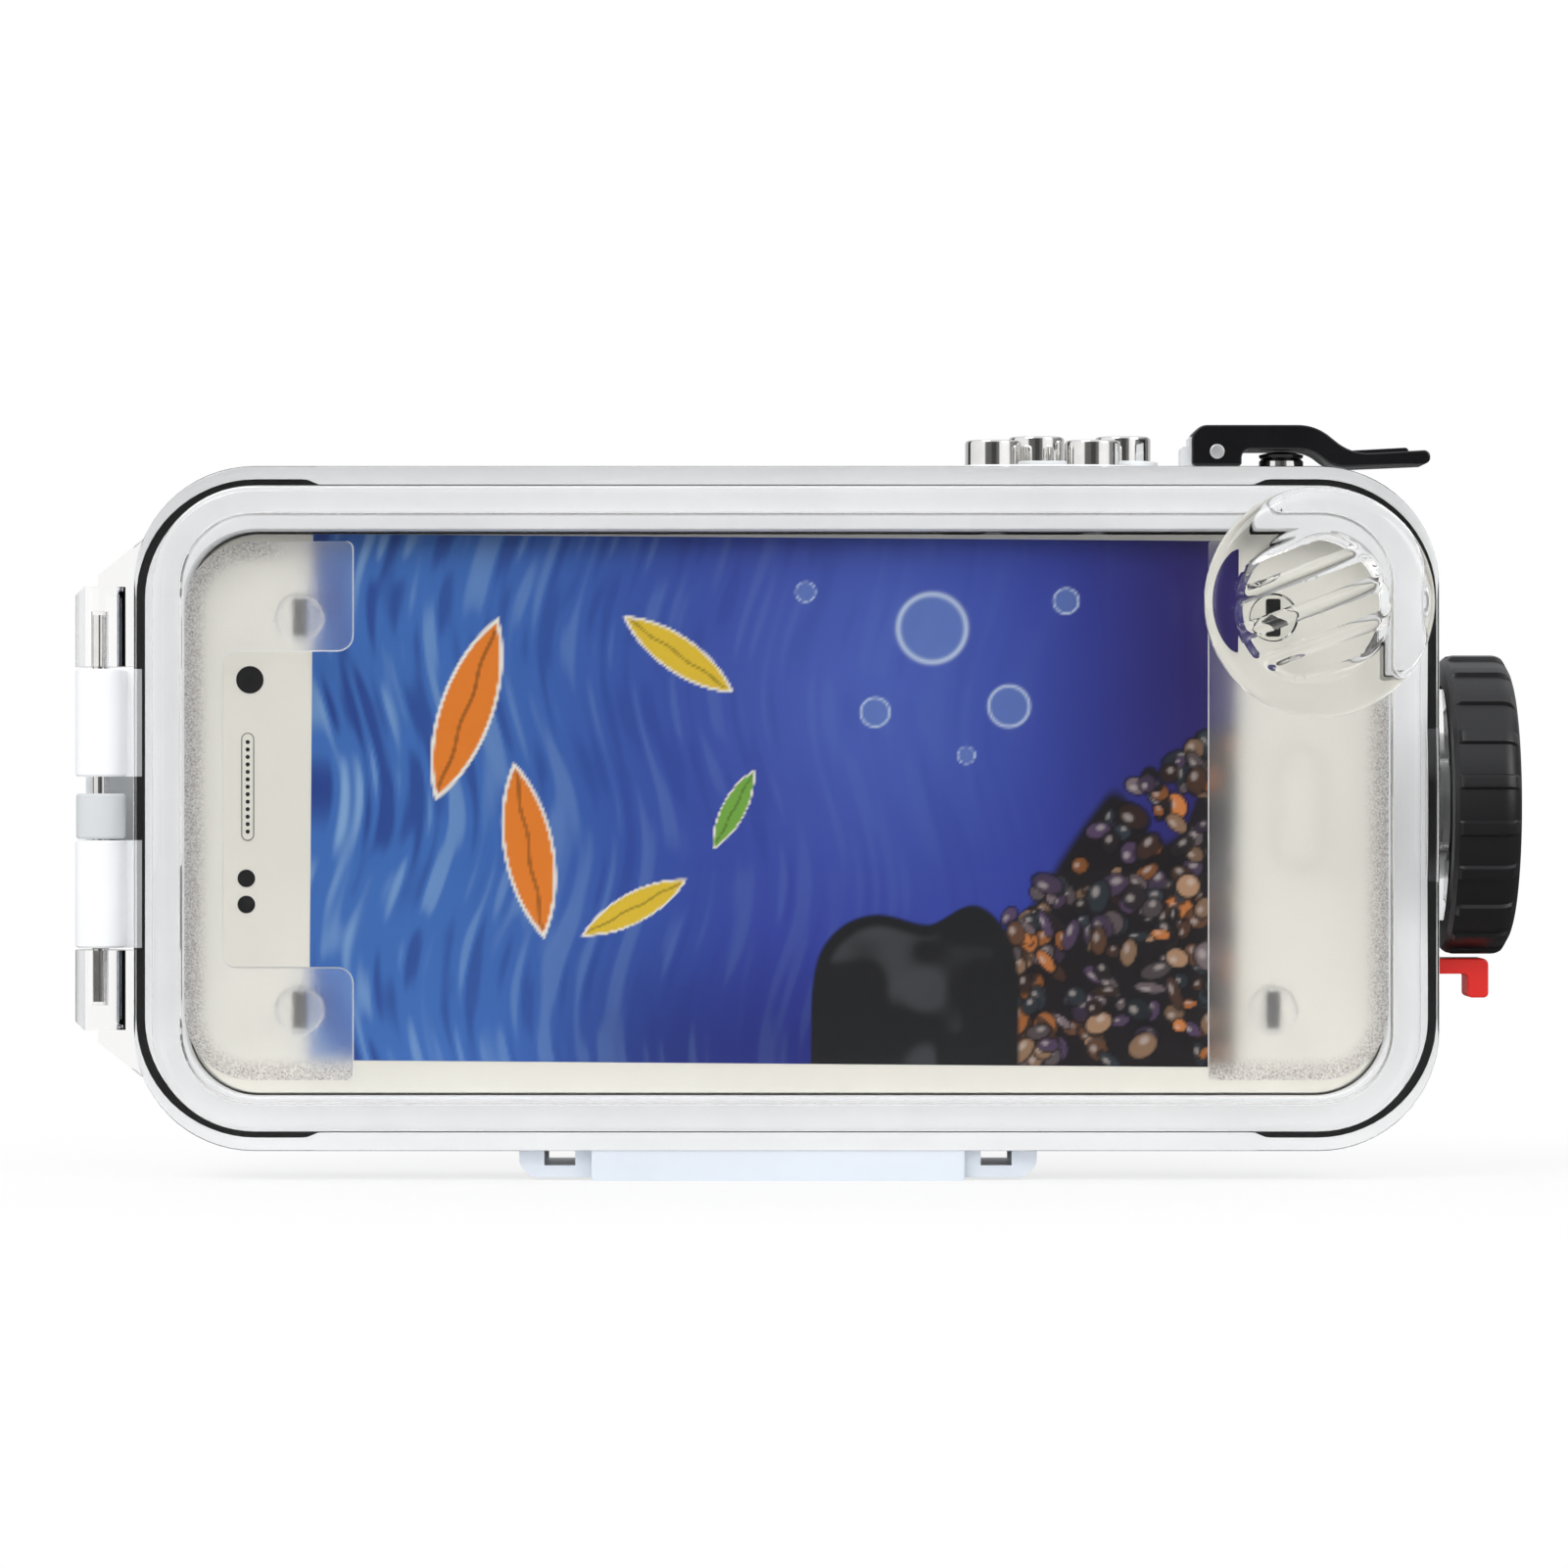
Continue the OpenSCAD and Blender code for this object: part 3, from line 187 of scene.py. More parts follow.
def settle(obj):
    """Gives the object the mesh that its modifiers make."""
    bpy.context.view_layer.update()
    made = bpy.data.meshes.new_from_object(obj.evaluated_get(bpy.context.evaluated_depsgraph_get()))
    obj.modifiers.clear()
    obj.data = made
    return obj


def combine(obj, parts, way="DIFFERENCE", look=None):
    """Cuts closed parts out of the object one by one, or with UNION adds them, and clears the cutters away."""
    cutters = []
    for part in parts:
        cutter = solid("cutter", [part])
        if look:
            cutter.data.materials.append(look)
        step = obj.modifiers.new("combine", "BOOLEAN")
        step.operation, step.solver, step.object = way, "MANIFOLD", cutter
        step.material_mode = "TRANSFER"
        cutters.append(cutter)
    settle(obj)
    for cutter in cutters:
        bpy.data.objects.remove(cutter)
    return obj


def piece(obj, look, body, stands_for=(), edge=0.0, angle=35):
    """Finishes a piece: softened edges, smooth shading between them, its material and body, and hides the parts it
    stands for.
    """
    if look:
        obj.data.materials.clear()
        obj.data.materials.append(look)
    if edge:
        bevel = obj.modifiers.new("edge", "BEVEL")
        bevel.width, bevel.segments, bevel.limit_method = edge / 1000, 3, "ANGLE"
        bevel.angle_limit, bevel.miter_outer = math.radians(angle), "MITER_ARC"
        settle(obj)
    obj.data.shade_smooth()
    obj.data.set_sharp_from_angle(angle=math.radians(angle))
    even = obj.modifiers.new("even", "WEIGHTED_NORMAL")
    even.keep_sharp = True
    settle(obj)
    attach(obj, body)
    if stands_for:
        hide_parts(*([stands_for] if isinstance(stands_for, str) else stands_for))
    return obj


def tint(r, g, b):
    """A colour as a screen shows it, 0 to 255, turned into the linear light that a shader takes."""
    c = np.array([r, g, b]) / 255
    return (*np.where(c <= 0.04045, c / 12.92, ((c + 0.055) / 1.055) ** 2.4).tolist(), 1.0)


def surface(name, colour, rough, metal=0.0, mottle=0.03, mottle_scale=60, grain=0.0, grain_scale=2500,
            rough_spread=0.05, **sockets):
    """A Principled surface whose colour and roughness wander with a soft noise, with a fine grain as bump."""
    material = bpy.data.materials.new(name)
    material.use_nodes = True
    nodes, links = material.node_tree.nodes, material.node_tree.links
    shader = nodes["Principled BSDF"]
    place = nodes.new("ShaderNodeTexCoord")
    soft = nodes.new("ShaderNodeTexNoise")
    soft.inputs["Scale"].default_value = mottle_scale
    soft.inputs["Detail"].default_value = 3
    links.new(place.outputs["Object"], soft.inputs["Vector"])
    shader.inputs["Base Color"].default_value = colour
    if mottle:
        ramp = nodes.new("ShaderNodeValToRGB")
        ramp.color_ramp.elements[0].position, ramp.color_ramp.elements[1].position = 0.3, 0.7
        dark = [c * (1 - mottle) for c in colour[:3]]
        light = [min(c * (1 + mottle), 1) for c in colour[:3]]
        ramp.color_ramp.elements[0].color, ramp.color_ramp.elements[1].color = (*dark, 1), (*light, 1)
        links.new(soft.outputs["Fac"], ramp.inputs["Fac"])
        links.new(ramp.outputs["Color"], shader.inputs["Base Color"])
    wander = nodes.new("ShaderNodeMapRange")
    wander.inputs["To Min"].default_value = max(rough - rough_spread, 0.0)
    wander.inputs["To Max"].default_value = rough + rough_spread
    links.new(soft.outputs["Fac"], wander.inputs["Value"])
    links.new(wander.outputs["Result"], shader.inputs["Roughness"])
    shader.inputs["Metallic"].default_value = metal
    if grain:
        fine = nodes.new("ShaderNodeTexNoise")
        fine.inputs["Scale"].default_value = grain_scale
        fine.inputs["Detail"].default_value = 2
        links.new(place.outputs["Object"], fine.inputs["Vector"])
        bump = nodes.new("ShaderNodeBump")
        bump.inputs["Strength"].default_value = grain
        bump.inputs["Distance"].default_value = 0.00005
        links.new(fine.outputs["Fac"], bump.inputs["Height"])
        links.new(bump.outputs["Normal"], shader.inputs["Normal"])
    for socket, value in sockets.items():
        shader.inputs[socket.replace("_", " ")].default_value = value
    return material


white_plastic = surface("white shell plastic", tint(243, 245, 247), 0.32, grain=0.12, grain_scale=1800)

groove_out, groove_in, groove_drop = 0.2, 1.45, 1.6


def slant(x):
    """Past a slanted end the groove's outer edge steps in and leaves a slit along the long sides."""
    return 0.8 * smooth((68.2 - x) / 2.6)


def groove_line(inset, step=None):
    """The groove runs nearer to the window on the long sides than round the ends."""
    return case_line(inset, height=half_h - groove_drop, side_inset=step)


turn = np.radians(np.linspace(0, 90, 9))
bay = dict(r=bay_r, length=bay_l, height=bay_h)
shell_rings = [at_depth(case_line(1.2, **bay), floor_y, bay_z), at_depth(case_line(0.35, **bay), floor_y - 0.35, bay_z),
               at_depth(case_line(0, **bay), floor_y - 1.2, bay_z), at_depth(case_line(0, **bay), rim_y + 0.3, bay_z),
               at_depth(case_line(-0.3, **bay), rim_y, bay_z)]
for inset, step, y in ((groove_in, None, rim_y), (groove_in, None, -9.3), (groove_out, slant, -9.3),
                       (groove_out, slant, rim_y)):
    shell_rings.append(at_depth(groove_line(inset, step), y))
shell_rings += [at_depth(case_line(0.2), rim_y), at_depth(case_line(0.05), rim_y + 0.08),
                at_depth(case_line(0), rim_y + 0.3)]
shell_rings += [at_depth(case_line(back_edge * (1 - np.cos(t))), back_y - back_edge * (1 - np.sin(t))) for t in turn]
shell = solid("back_shell_body", [skin(shell_rings)])

button_x, button_y = [], []
for i in "1234":
    low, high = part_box("button_" + i)
    button_x.append((low.x + high.x) * 500)
    button_y.append((low.y + high.y) * 500)
front_row, rear_row = (button_x[0], button_x[2], button_y[0], 0.6), (button_x[1], button_x[3], button_y[1], 1.6)
top_z, pivot_x, pivot_z = 101, 61.4, 103.6
pin_x, knuckle_r = -97, 3.6


def boss(x0, x1, y, rise):
    """A long boss with round ends under one row of buttons, its top edge rounded."""
    r = 5.1
    a = np.radians(np.linspace(-90, 90, 17))
    ends = np.concatenate([np.stack([x1 + r * np.cos(a), y + r * np.sin(a)], 1),
                           np.stack([x0 - r * np.cos(a), y - r * np.sin(a)], 1)])
    middle = np.array([(x0 + x1) / 2, y])
    rings = [on_axis(ends, top_z - 4, "z")]
    for t in turn[::2]:
        shrink = 0.35 * (1 - np.cos(t))
        away = ends - np.stack([np.clip(ends[:, 0], x0, x1), np.full(len(ends), y)], 1)
        rings.append(on_axis(ends - away / r * shrink, top_z + rise - 0.35 * (1 - np.sin(t)), "z"))
    return skin(rings)


foot_x, foot_half, lobe, foot_y = -1.2, 26.4, 10.3, 10.5
foot_parts = [prism(rounded([[foot_x - foot_half, 0], [foot_x + foot_half, 0], [foot_x + foot_half, 5.5],
                             [foot_x - foot_half, 5.5]], [0.5, 0.5, 0, 0]), -foot_y, foot_y)]
for side in (-1, 1):
    root, tip = foot_x + side * (foot_half - 1), foot_x + side * (foot_half + lobe)
    outline = rounded([[root, 0.4], [tip - side * 1.8, 0.4], [tip, 2.2], [tip, 5.5], [root, 5.5]], [0, 1.4, 1.4, 0, 0])
    foot_parts.append(prism(outline, -foot_y + 1.5, foot_y - 1.5))
foot_object = solid("foot", foot_parts)
slot_x = foot_half + lobe / 2 - 0.6
combine(foot_object, [box(foot_x + s * slot_x - 2.2, foot_x + s * slot_x + 2.2, -14, 14, 2.1, 4.5) for s in (-1, 1)])

added = [boss(*front_row), boss(*rear_row)]
for side in (-1, 1):
    low, high = sorted((mid_z + side * 4.5, mid_z + side * 19.7))
    knuckle = rounded([[pin_x, 0], [-91, 0], [-91, 3.6], [pin_x, 3.6]], 0)
    added.append(lathe([[0, low], [knuckle_r - 0.3, low], [knuckle_r, low + 0.3], [knuckle_r, high - 0.3],
                        [knuckle_r - 0.3, high], [0, high]], (pin_x, part_y, 0), steps=64))
    added.append(prism(knuckle + [0, part_y], low, high, "z"))
added.append(box(-99.6, -91, -7.2, -6.4, mid_z - 5, mid_z + 5))
bracket = rounded([[pivot_x - 5, 99], [pivot_x + 2.2, 99], [pivot_x + 2.2, pivot_z + 2.2],
                   [pivot_x - 3.9, pivot_z + 2.2], [pivot_x - 3.9, pivot_z + 0.8], [pivot_x - 5, pivot_z + 0.8]],
                  [0, 0, 2.2, 0.2, 0.2, 0.4])
added.append(prism(bracket, -3, 3))
added.append(lathe([[0, 90], [5.5, 90], [5.5, 96.9], [5.2, 97.2], [0, 97.2]], (0, 1, 53.25), "x", 64))
for i in range(6):
    added.append(plate(2.4, 56, 1.15, back_y - 1, back_y + 1.2, -80 + 5.5 * i, mid_z, 0.8))
added.append(plate(64, 40, 5, back_y - 1, back_y + 0.9, -14, 71, 0.6))
added.append(lathe([[0, 10], [15.25, 10], [15.25, 11.6], [14.85, 12], [0, 12]], (4, 0, 27), "y"))
added.append(lathe([[0, 10], [9.5, 10], [9.5, 16.7], [9.2, 17], [0, 17]], (4, 0, 27), "y"))
combine(shell, added, "UNION")

button_seat = (101.6, 102.6, 101.6, 102.6)
plunger_x = 70.9
wells = []
for x, y, seat, cap_r in zip((*button_x, plunger_x), (*button_y, 0), (*button_seat, top_z), (4, 4, 4, 4, 3.2)):
    wells.append(lathe([[0, seat - 5.6], [3.3, seat - 5.6], [3.3, seat - 2.1], [cap_r + 0.3, seat - 2.1],
                        [cap_r + 0.3, seat - 0.25], [cap_r + 0.6, seat + 0.1], [cap_r + 0.6, seat + 3], [0, seat + 3]],
                       (x, y, 0), steps=64))
# Room for the pressed lever's tail in the corner of the case
press = math.radians(8)
tail_room = np.array([[14.6, -2.45], [40, -2.45], [40, 12], [14.6, 12]])
tail_room = tail_room @ np.array([[math.cos(press), -math.sin(press)], [math.sin(press), math.cos(press)]])
wells.append(prism(tail_room + [pivot_x, pivot_z], -5.5, 5.5))
wells.append(plate(36, 56, 6, floor_y - 1, back_y + 1, 66, 54.25))
wells.append(box(87.4, 93, -4.5, 4.5, 21.6, 31.6))
wells.append(lathe([[0, -1], [4.6, -1], [4.6, 7], [0, 7]], (0, 0, 0), steps=64))
combine(shell, wells[:-1])
combine(foot_object, wells[-1:])
shell_piece = piece(shell, white_plastic, "shell", "back_shell", angle=32)
# The foot is the shell's own white plastic. Its greyer, bluer white is painted shade.
shaded_white_plastic = surface("white plastic with painted shade", tint(224, 231, 240), 0.32, grain=0.12, grain_scale=1800)
foot_piece = piece(foot_object, shaded_white_plastic, "shell", edge=0.35)

# Main seal
# A square-cut ring of black silicone that lies in the shell's rim. It shows through the clear flange round both
# ends, and only as a thin line along the sides, where the rim closes over it.
black_rubber = surface("black silicone", tint(9, 9, 10), 0.6, mottle=0.1, grain=0.2, grain_scale=3000,
                       Specular_IOR_Level=0.3)
seal_rings = [at_depth(groove_line(groove_in - 0.02), y) for y in (-9.4, -10.75)]
seal_rings += [at_depth(groove_line(groove_in - 0.1), -10.92), at_depth(groove_line(groove_out + 0.1, slant), -10.92)]
seal_rings += [at_depth(groove_line(groove_out + 0.02, slant), y) for y in (-10.75, -9.4)]
piece(solid("main_seal_ring", [skin(seal_rings, endless=True)]), black_rubber, "shell", "main_seal")

# Tripod insert
# A turned brass bush pressed into the foot, threaded for a quarter inch screw.
brass = surface("brass", tint(196, 160, 92), 0.3, metal=1.0)
depth = np.linspace(0.4, 6.6, 121)
thread = 2.5 + 0.16 * np.abs((depth / 1.27) % 1 * 2 - 1)
bore = [[4.6, 0], [4.6, 7], [2.9, 7]] + np.stack([thread[::-1], depth[::-1]], 1).tolist() + [[2.9, 0]]
insert_rings = np.asarray(bore)
turn_full = np.linspace(0, 2 * np.pi, 64, endpoint=False)
insert = skin(np.stack([insert_rings[:, :1] * np.cos(turn_full), insert_rings[:, :1] * np.sin(turn_full),
                        insert_rings[:, 1:] + 0 * turn_full], -1), endless=True)
piece(solid("tripod_bush", [insert]), brass, "shell", "tripod_insert")

# Bay fittings
# The tray, the control board with its switches and cell, the springs, clips and inner seals are hidden behind the
# card or inside the walls. They keep their solid's shape and get the finish of what they are made of.
steel = surface("turned steel", tint(238, 237, 235), 0.1, metal=1.0, mottle=0.05, mottle_scale=400,
                rough_spread=0.03)
spring_steel = surface("spring steel", tint(168, 170, 175), 0.3, metal=1.0)
black_plastic = surface("black plastic", tint(26, 26, 28), 0.38, mottle=0.12, grain=0.35, grain_scale=2200)
red_rubber = surface("red silicone", tint(150, 34, 28), 0.5, mottle=0.08, grain=0.2)
tray_plastic = surface("tray plastic", tint(226, 225, 219), 0.45, grain=0.15)
board_lacquer = surface("board lacquer", tint(38, 110, 66), 0.35, mottle=0.15, mottle_scale=900)
inner_looks = {
    "phone_tray": tray_plastic, "cell_cover": tray_plastic, "control_board": board_lacquer,
    "push_switches": black_plastic, "coin_cell": steel, "board_screws": steel, "lock_spring": spring_steel,
    "lock_pin": steel, "lever_pin": steel, "knob_washer": steel, "plunger_spring": spring_steel,
    "plunger_clip": spring_steel, "plunger_seal": black_rubber, "block_gasket": black_rubber,
    "glass_gasket": black_rubber, "vacuum_valve": black_rubber, "cap_seal": red_rubber, "hinge_pin": steel}
for i in "1234":
    inner_looks.update({"button_spring_" + i: spring_steel, "button_clip_" + i: spring_steel,
                        "button_seal_" + i: black_rubber})
for node, look in inner_looks.items():
    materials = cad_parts[node].data.materials
    materials.clear()
    materials.append(look)

# Camera window
# A raised white block is screwed to the back of the shell. A black frame clamps a thick flat glass in it, and two
# small orange-red inserts sit in its upper and lower edge.
block_x, camera_x, camera_z = 56, 66, 54.25
block = solid("camera_block_body", [plate(64, 75, 9, back_y, back_y + 10, block_x, mid_z, 2)])
screw_spots = [(block_x + sx * 27, mid_z + sz * 32.5) for sx in (-1, 1) for sz in (-1, 1)]
cuts = [plate(38, 58, 7, back_y + 4, back_y + 12, camera_x, camera_z),
        plate(33, 53, 5.5, back_y - 1, back_y + 5, camera_x, camera_z)]
cuts += [lathe([[0, 19], [2.1, 19], [2.1, 20.8], [2.4, 21.2], [0, 21.2]], (x, 0, z), "y", 48) for x, z in screw_spots]
cuts += [box(block_x - 26, block_x - 14, 14, 18, mid_z + s * 37.5 - 1.2, mid_z + s * 37.5 + 1.2) for s in (-1, 1)]
combine(block, cuts)
piece(block, white_plastic, "shell", "camera_block", angle=32)
frame_rings = [at_depth(case_line(0, 6.9, 18.9, 28.9), y, camera_z, camera_x) for y in (19, 20.7)]
frame_rings += [at_depth(case_line(0.3, 6.9, 18.9, 28.9), 21, camera_z, camera_x)]
frame_rings += [at_depth(case_line(g, 4.5, 15, 25), y, camera_z, camera_x) for g, y in ((-0.8, 21), (0, 20.2), (0, 19))]
piece(solid("camera_frame", [skin(frame_rings, endless=True)]), black_plastic, "shell", "camera_bezel")
clear_glass = surface("clear glass", (0.93, 0.97, 0.97, 1), 0.0, mottle=0, rough_spread=0, IOR=1.52,
                      Transmission_Weight=1.0)
glass_rings = [at_depth(case_line(g, 6.8, 18.8, 28.8), y, camera_z, camera_x)
               for g, y in ((0.3, 16), (0, 16.3), (0, 18.7), (0.3, 19))]
piece(solid("camera_pane", [skin(glass_rings)]), clear_glass, "shell", "camera_glass")
screw_parts = []
for x, z in screw_spots:
    socket = [[0, 19.6], [0.85, 19.6], [0.85, 20.35], [1.0, 20.45], [1.6, 20.4], [1.9, 20.1], [1.95, 19.1], [0, 19.1]]
    screw_parts.append(lathe(socket, (x, 0, z), "y", 48))
piece(solid("block_screw_heads", screw_parts), steel, "shell", "block_screws")
orange_plastic = surface("orange red plastic", tint(214, 72, 34), 0.35, mottle=0.05, grain=0.15)
insert_parts = []
for s in (-1, 1):
    low, high = sorted((mid_z + s * 36.3, mid_z + s * 38))
    insert_parts.append(box(block_x - 25.9, block_x - 14.1, 14.1, 17.9, low, high))
piece(solid("block_side_inserts", insert_parts), orange_plastic, "shell", "side_inserts", edge=0.3)

# Vacuum cap
# A round screw cap with a scalloped rim and a coin slot closes the valve through which the case is pumped down.
def scallops(a, r, h):
    """Twenty-four shallow hollows round the rim, deepest at mid height."""
    return -0.45 * (r > 12.5) * smooth((h - 13.2) / 1) * (0.5 + 0.5 * np.cos(24 * a)) ** 3


cap_profile = [[0, 18.1], [9.8, 18.1], [9.8, 12.15], [12.75, 12.15], [13.25, 12.65]]
cap_profile += [[13.25, h] for h in np.linspace(13.2, 18.0, 9)]
cap_profile += [[11.75 + 1.5 * np.cos(t), 18.25 + 1.5 * np.sin(t)] for t in turn]
cap_profile += [[8.8, 19.75], [8.4, 19.6], [8.1, 19.15], [0, 19.15]]
cap = solid("vacuum_cap_body", [lathe(cap_profile, (4, 0, 27), "y", 288, scallops)])
combine(cap, [box(-2, 10, 18.5, 21, 26.1, 27.9)])
piece(cap, black_plastic, "vacuum_cap", "vacuum_cap")

# Display card
# A glossy off-white card with printed camera, speaker and sensor marks fills the phone's place. Its picture is a
# generic one: swell lines, bubbles, leaves and pebbles in blues, with a few warm spots.
card_ink = bpy.data.materials.new("card ink")
card_ink.use_nodes = True
ink_nodes, ink_links = card_ink.node_tree.nodes, card_ink.node_tree.links
ink = ink_nodes.new("ShaderNodeAttribute")
ink.attribute_name = "ink"
ink_links.new(ink.outputs["Color"], ink_nodes["Principled BSDF"].inputs["Base Color"])
ink_nodes["Principled BSDF"].inputs["Roughness"].default_value = 0.3
card_white = surface("card white", tint(240, 238, 228), 0.42, mottle=0.012)
dark_ink = surface("dark ink", tint(22, 22, 24), 0.3, mottle=0.1)
grey_ink = surface("grey ink", tint(150, 148, 140), 0.4, mottle=0.04)
card_low, card_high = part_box("display_card")
card_y = card_low.y * 1000
card = solid("card_sheet", [plate(168.4, 79.2, 9.4, -6.02, card_y, 0, bay_z)])
piece(card, card_white, "shell", "display_card")

picture_x0, picture_x1, picture_z0, picture_z1, picture_tilt = -67.5, 63.9, 16.5, 91.2, math.radians(-0.45)
columns, rows = 400, 230
px, pz = np.meshgrid(np.linspace(0, 1, columns), np.linspace(0, 1, rows))
length, height = picture_x1 - picture_x0, picture_z1 - picture_z0
x_mm, z_mm = px * length, pz * height


def lay(paint, colour, cover):
    """Paints a colour over the picture where cover is above 0, up to fully at 1."""
    return paint + (np.array(colour[:3]) - paint) * np.clip(cover, 0, 1)[..., None]


def cloud(across, up, seed):
    """Soft random patches over the picture: a coarse grid of random shades, smoothed between its points."""
    grid = np.random.default_rng(seed).random((up + 2, across + 2))
    u, w = np.clip(px, 0, 1) * across, pz * up
    i, j = u.astype(int), w.astype(int)
    a, b = smooth(u - i), smooth(w - j)
    low = grid[j, i] * (1 - a) + grid[j, i + 1] * a
    high = grid[j + 1, i] * (1 - a) + grid[j + 1, i + 1] * a
    return low * (1 - b) + high * b


paint = np.zeros((rows, columns, 3))
paint = lay(paint, tint(62, 112, 190), np.ones_like(px))
paint = lay(paint, tint(44, 56, 156), smooth((px - 0.1) / 0.45))
paint = lay(paint, tint(84, 110, 200), 0.7 * np.exp(-((px - 0.6) / 0.2) ** 2 - ((pz - 0.72) / 0.42) ** 2))
paint = lay(paint, tint(44, 30, 92), smooth((px - 0.74) / 0.26) * 0.9)
paint = lay(paint, tint(30, 38, 112), 0.7 * smooth((0.3 - pz) / 0.3) * smooth((px - 0.2) / 0.2))
bent = 0.02 * np.sin(pz * 9 + 3 * px)
px = px + bent
streaks = 0.55 * cloud(120, 6, 3) + 0.45 * cloud(62, 9, 4)
near_left = np.exp(-px / 0.2)
paint = lay(paint, tint(150, 190, 228), smooth((streaks - 0.54) / 0.22) * 0.75 * near_left)
paint = lay(paint, tint(28, 48, 130), smooth((0.46 - streaks) / 0.22) * 0.8 * np.exp(-px / 0.34))
px = px - bent
bed = height * (0.2 + 0.42 * smooth((px - 0.68) / 0.32)) * (0.75 + 0.5 * cloud(14, 2, 5))
paint = lay(paint, tint(24, 20, 24), smooth((bed - z_mm) / 2.5) * smooth((px - 0.66) / 0.05))
rng = np.random.default_rng(7)
stones = np.array([[92, 62, 44], [34, 28, 32], [150, 118, 92], [74, 58, 84], [176, 108, 56], [44, 52, 60], [104, 92, 96],
                   [60, 40, 34]])
for k in range(330):
    cx = length * (1 - 0.34 * rng.random() ** 1.2)
    cz = (height * (0.2 + 0.42 * smooth((cx / length - 0.68) / 0.32)) + 2) * rng.random() ** 0.9
    a, b, spin = 0.7 + 1.8 * rng.random(), 0.6 + 1.2 * rng.random(), np.pi * rng.random()
    u = ((x_mm - cx) * np.cos(spin) + (z_mm - cz) * np.sin(spin)) / a
    w = (-(x_mm - cx) * np.sin(spin) + (z_mm - cz) * np.cos(spin)) / b
    stone = tint(*(stones[rng.integers(8)] * (0.7 + 0.5 * rng.random())))
    reach = u * u + w * w
    paint = lay(paint, tint(14, 12, 18), smooth((1.5 - reach) / 0.3) * 0.8)
    paint = lay(paint, stone, smooth((1 - reach) / 0.35))
    paint = lay(paint, tint(206, 196, 190), 0.5 * smooth((0.2 - (u - 0.25) ** 2 - (w - 0.3) ** 2) / 0.2))
rock = 1 - ((x_mm - 86) / 15) ** 4 - ((z_mm - 4) / (15 + 5 * cloud(18, 2, 6))) ** 4
paint = lay(paint, tint(24, 25, 28), smooth(rock / 0.12))
paint = lay(paint, tint(62, 64, 68), smooth((rock - 0.3) / 0.2) * smooth((cloud(30, 14, 8) - 0.62) / 0.2))
for cx, cz, r in ((88, 62, 5.2), (99, 51, 3.1), (80, 50, 2.2), (107, 66, 1.9), (70, 67, 1.5), (93, 44, 1.3)):
    away = np.hypot(x_mm - cx, z_mm - cz) / r
    paint = lay(paint, tint(128, 160, 214), smooth((1 - away) / 0.1) * 0.35)
    paint = lay(paint, tint(206, 224, 244), np.exp(-((away - 0.93) / 0.07) ** 2) * 0.8)
for cx, cz, long, wide, spin, colour in ((22, 50, 13, 4.2, 1.25, (238, 132, 40)), (31, 30, 12, 3.9, 1.75, (238, 132, 40)),
                                         (46, 22, 8, 2.4, 0.5, (232, 196, 52)), (52, 58, 9, 2.8, -0.6, (232, 196, 52)),
                                         (60, 36, 6, 1.9, 1.1, (120, 176, 70))):
    u = ((x_mm - cx) * np.cos(spin) + (z_mm - cz) * np.sin(spin)) / long
    w = (-(x_mm - cx) * np.sin(spin) + (z_mm - cz) * np.cos(spin)) / wide
    leaf = 1 - u * u - np.abs(w) * 1.0 - 0.25 * w * w
    paint = lay(paint, tint(244, 240, 228), smooth((leaf + 0.16) / 0.06))
    paint = lay(paint, tint(*colour), smooth(leaf / 0.05))
    paint = lay(paint, tint(*(0.72 * np.array(colour))), smooth((0.08 - np.abs(w + 0.05 * np.sin(9 * u))) / 0.04) * (leaf > 0.1))
mid = np.array([(picture_x0 + picture_x1) / 2, (picture_z0 + picture_z1) / 2])
flat = np.stack([x_mm + picture_x0 - mid[0], z_mm + picture_z0 - mid[1]], -1)
cos, sin = math.cos(picture_tilt), math.sin(picture_tilt)
flat = np.stack([flat[..., 0] * cos - flat[..., 1] * sin, flat[..., 0] * sin + flat[..., 1] * cos], -1) + mid
sheet = np.stack([flat[..., 0], np.full(px.shape, card_y - 0.05), flat[..., 1]], -1).reshape(-1, 3) / 1000
r, c = np.meshgrid(np.arange(rows - 1), np.arange(columns - 1), indexing="ij")
quads = np.stack([r * columns + c, r * columns + c + 1, (r + 1) * columns + c + 1, (r + 1) * columns + c], -1)
picture_mesh = bpy.data.meshes.new("card_picture")
picture_mesh.from_pydata(sheet, [], quads.reshape(-1, 4).tolist())
layer = picture_mesh.color_attributes.new("ink", "FLOAT_COLOR", "POINT")
layer.data.foreach_set("color", np.concatenate([paint.reshape(-1, 3), np.ones((rows * columns, 1))], 1).ravel())
picture = bpy.data.objects.new("card_picture", picture_mesh)
bpy.context.scene.collection.objects.link(picture)
picture.data.materials.append(card_ink)
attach(picture, "shell")


def disc(x, z, r, proud=0.06):
    """A printed spot, as a very thin disc on the card."""
    return lathe([[0, card_y], [r, card_y], [r, card_y - proud], [0, card_y - proud]], (x, 0, z), "y", 48)


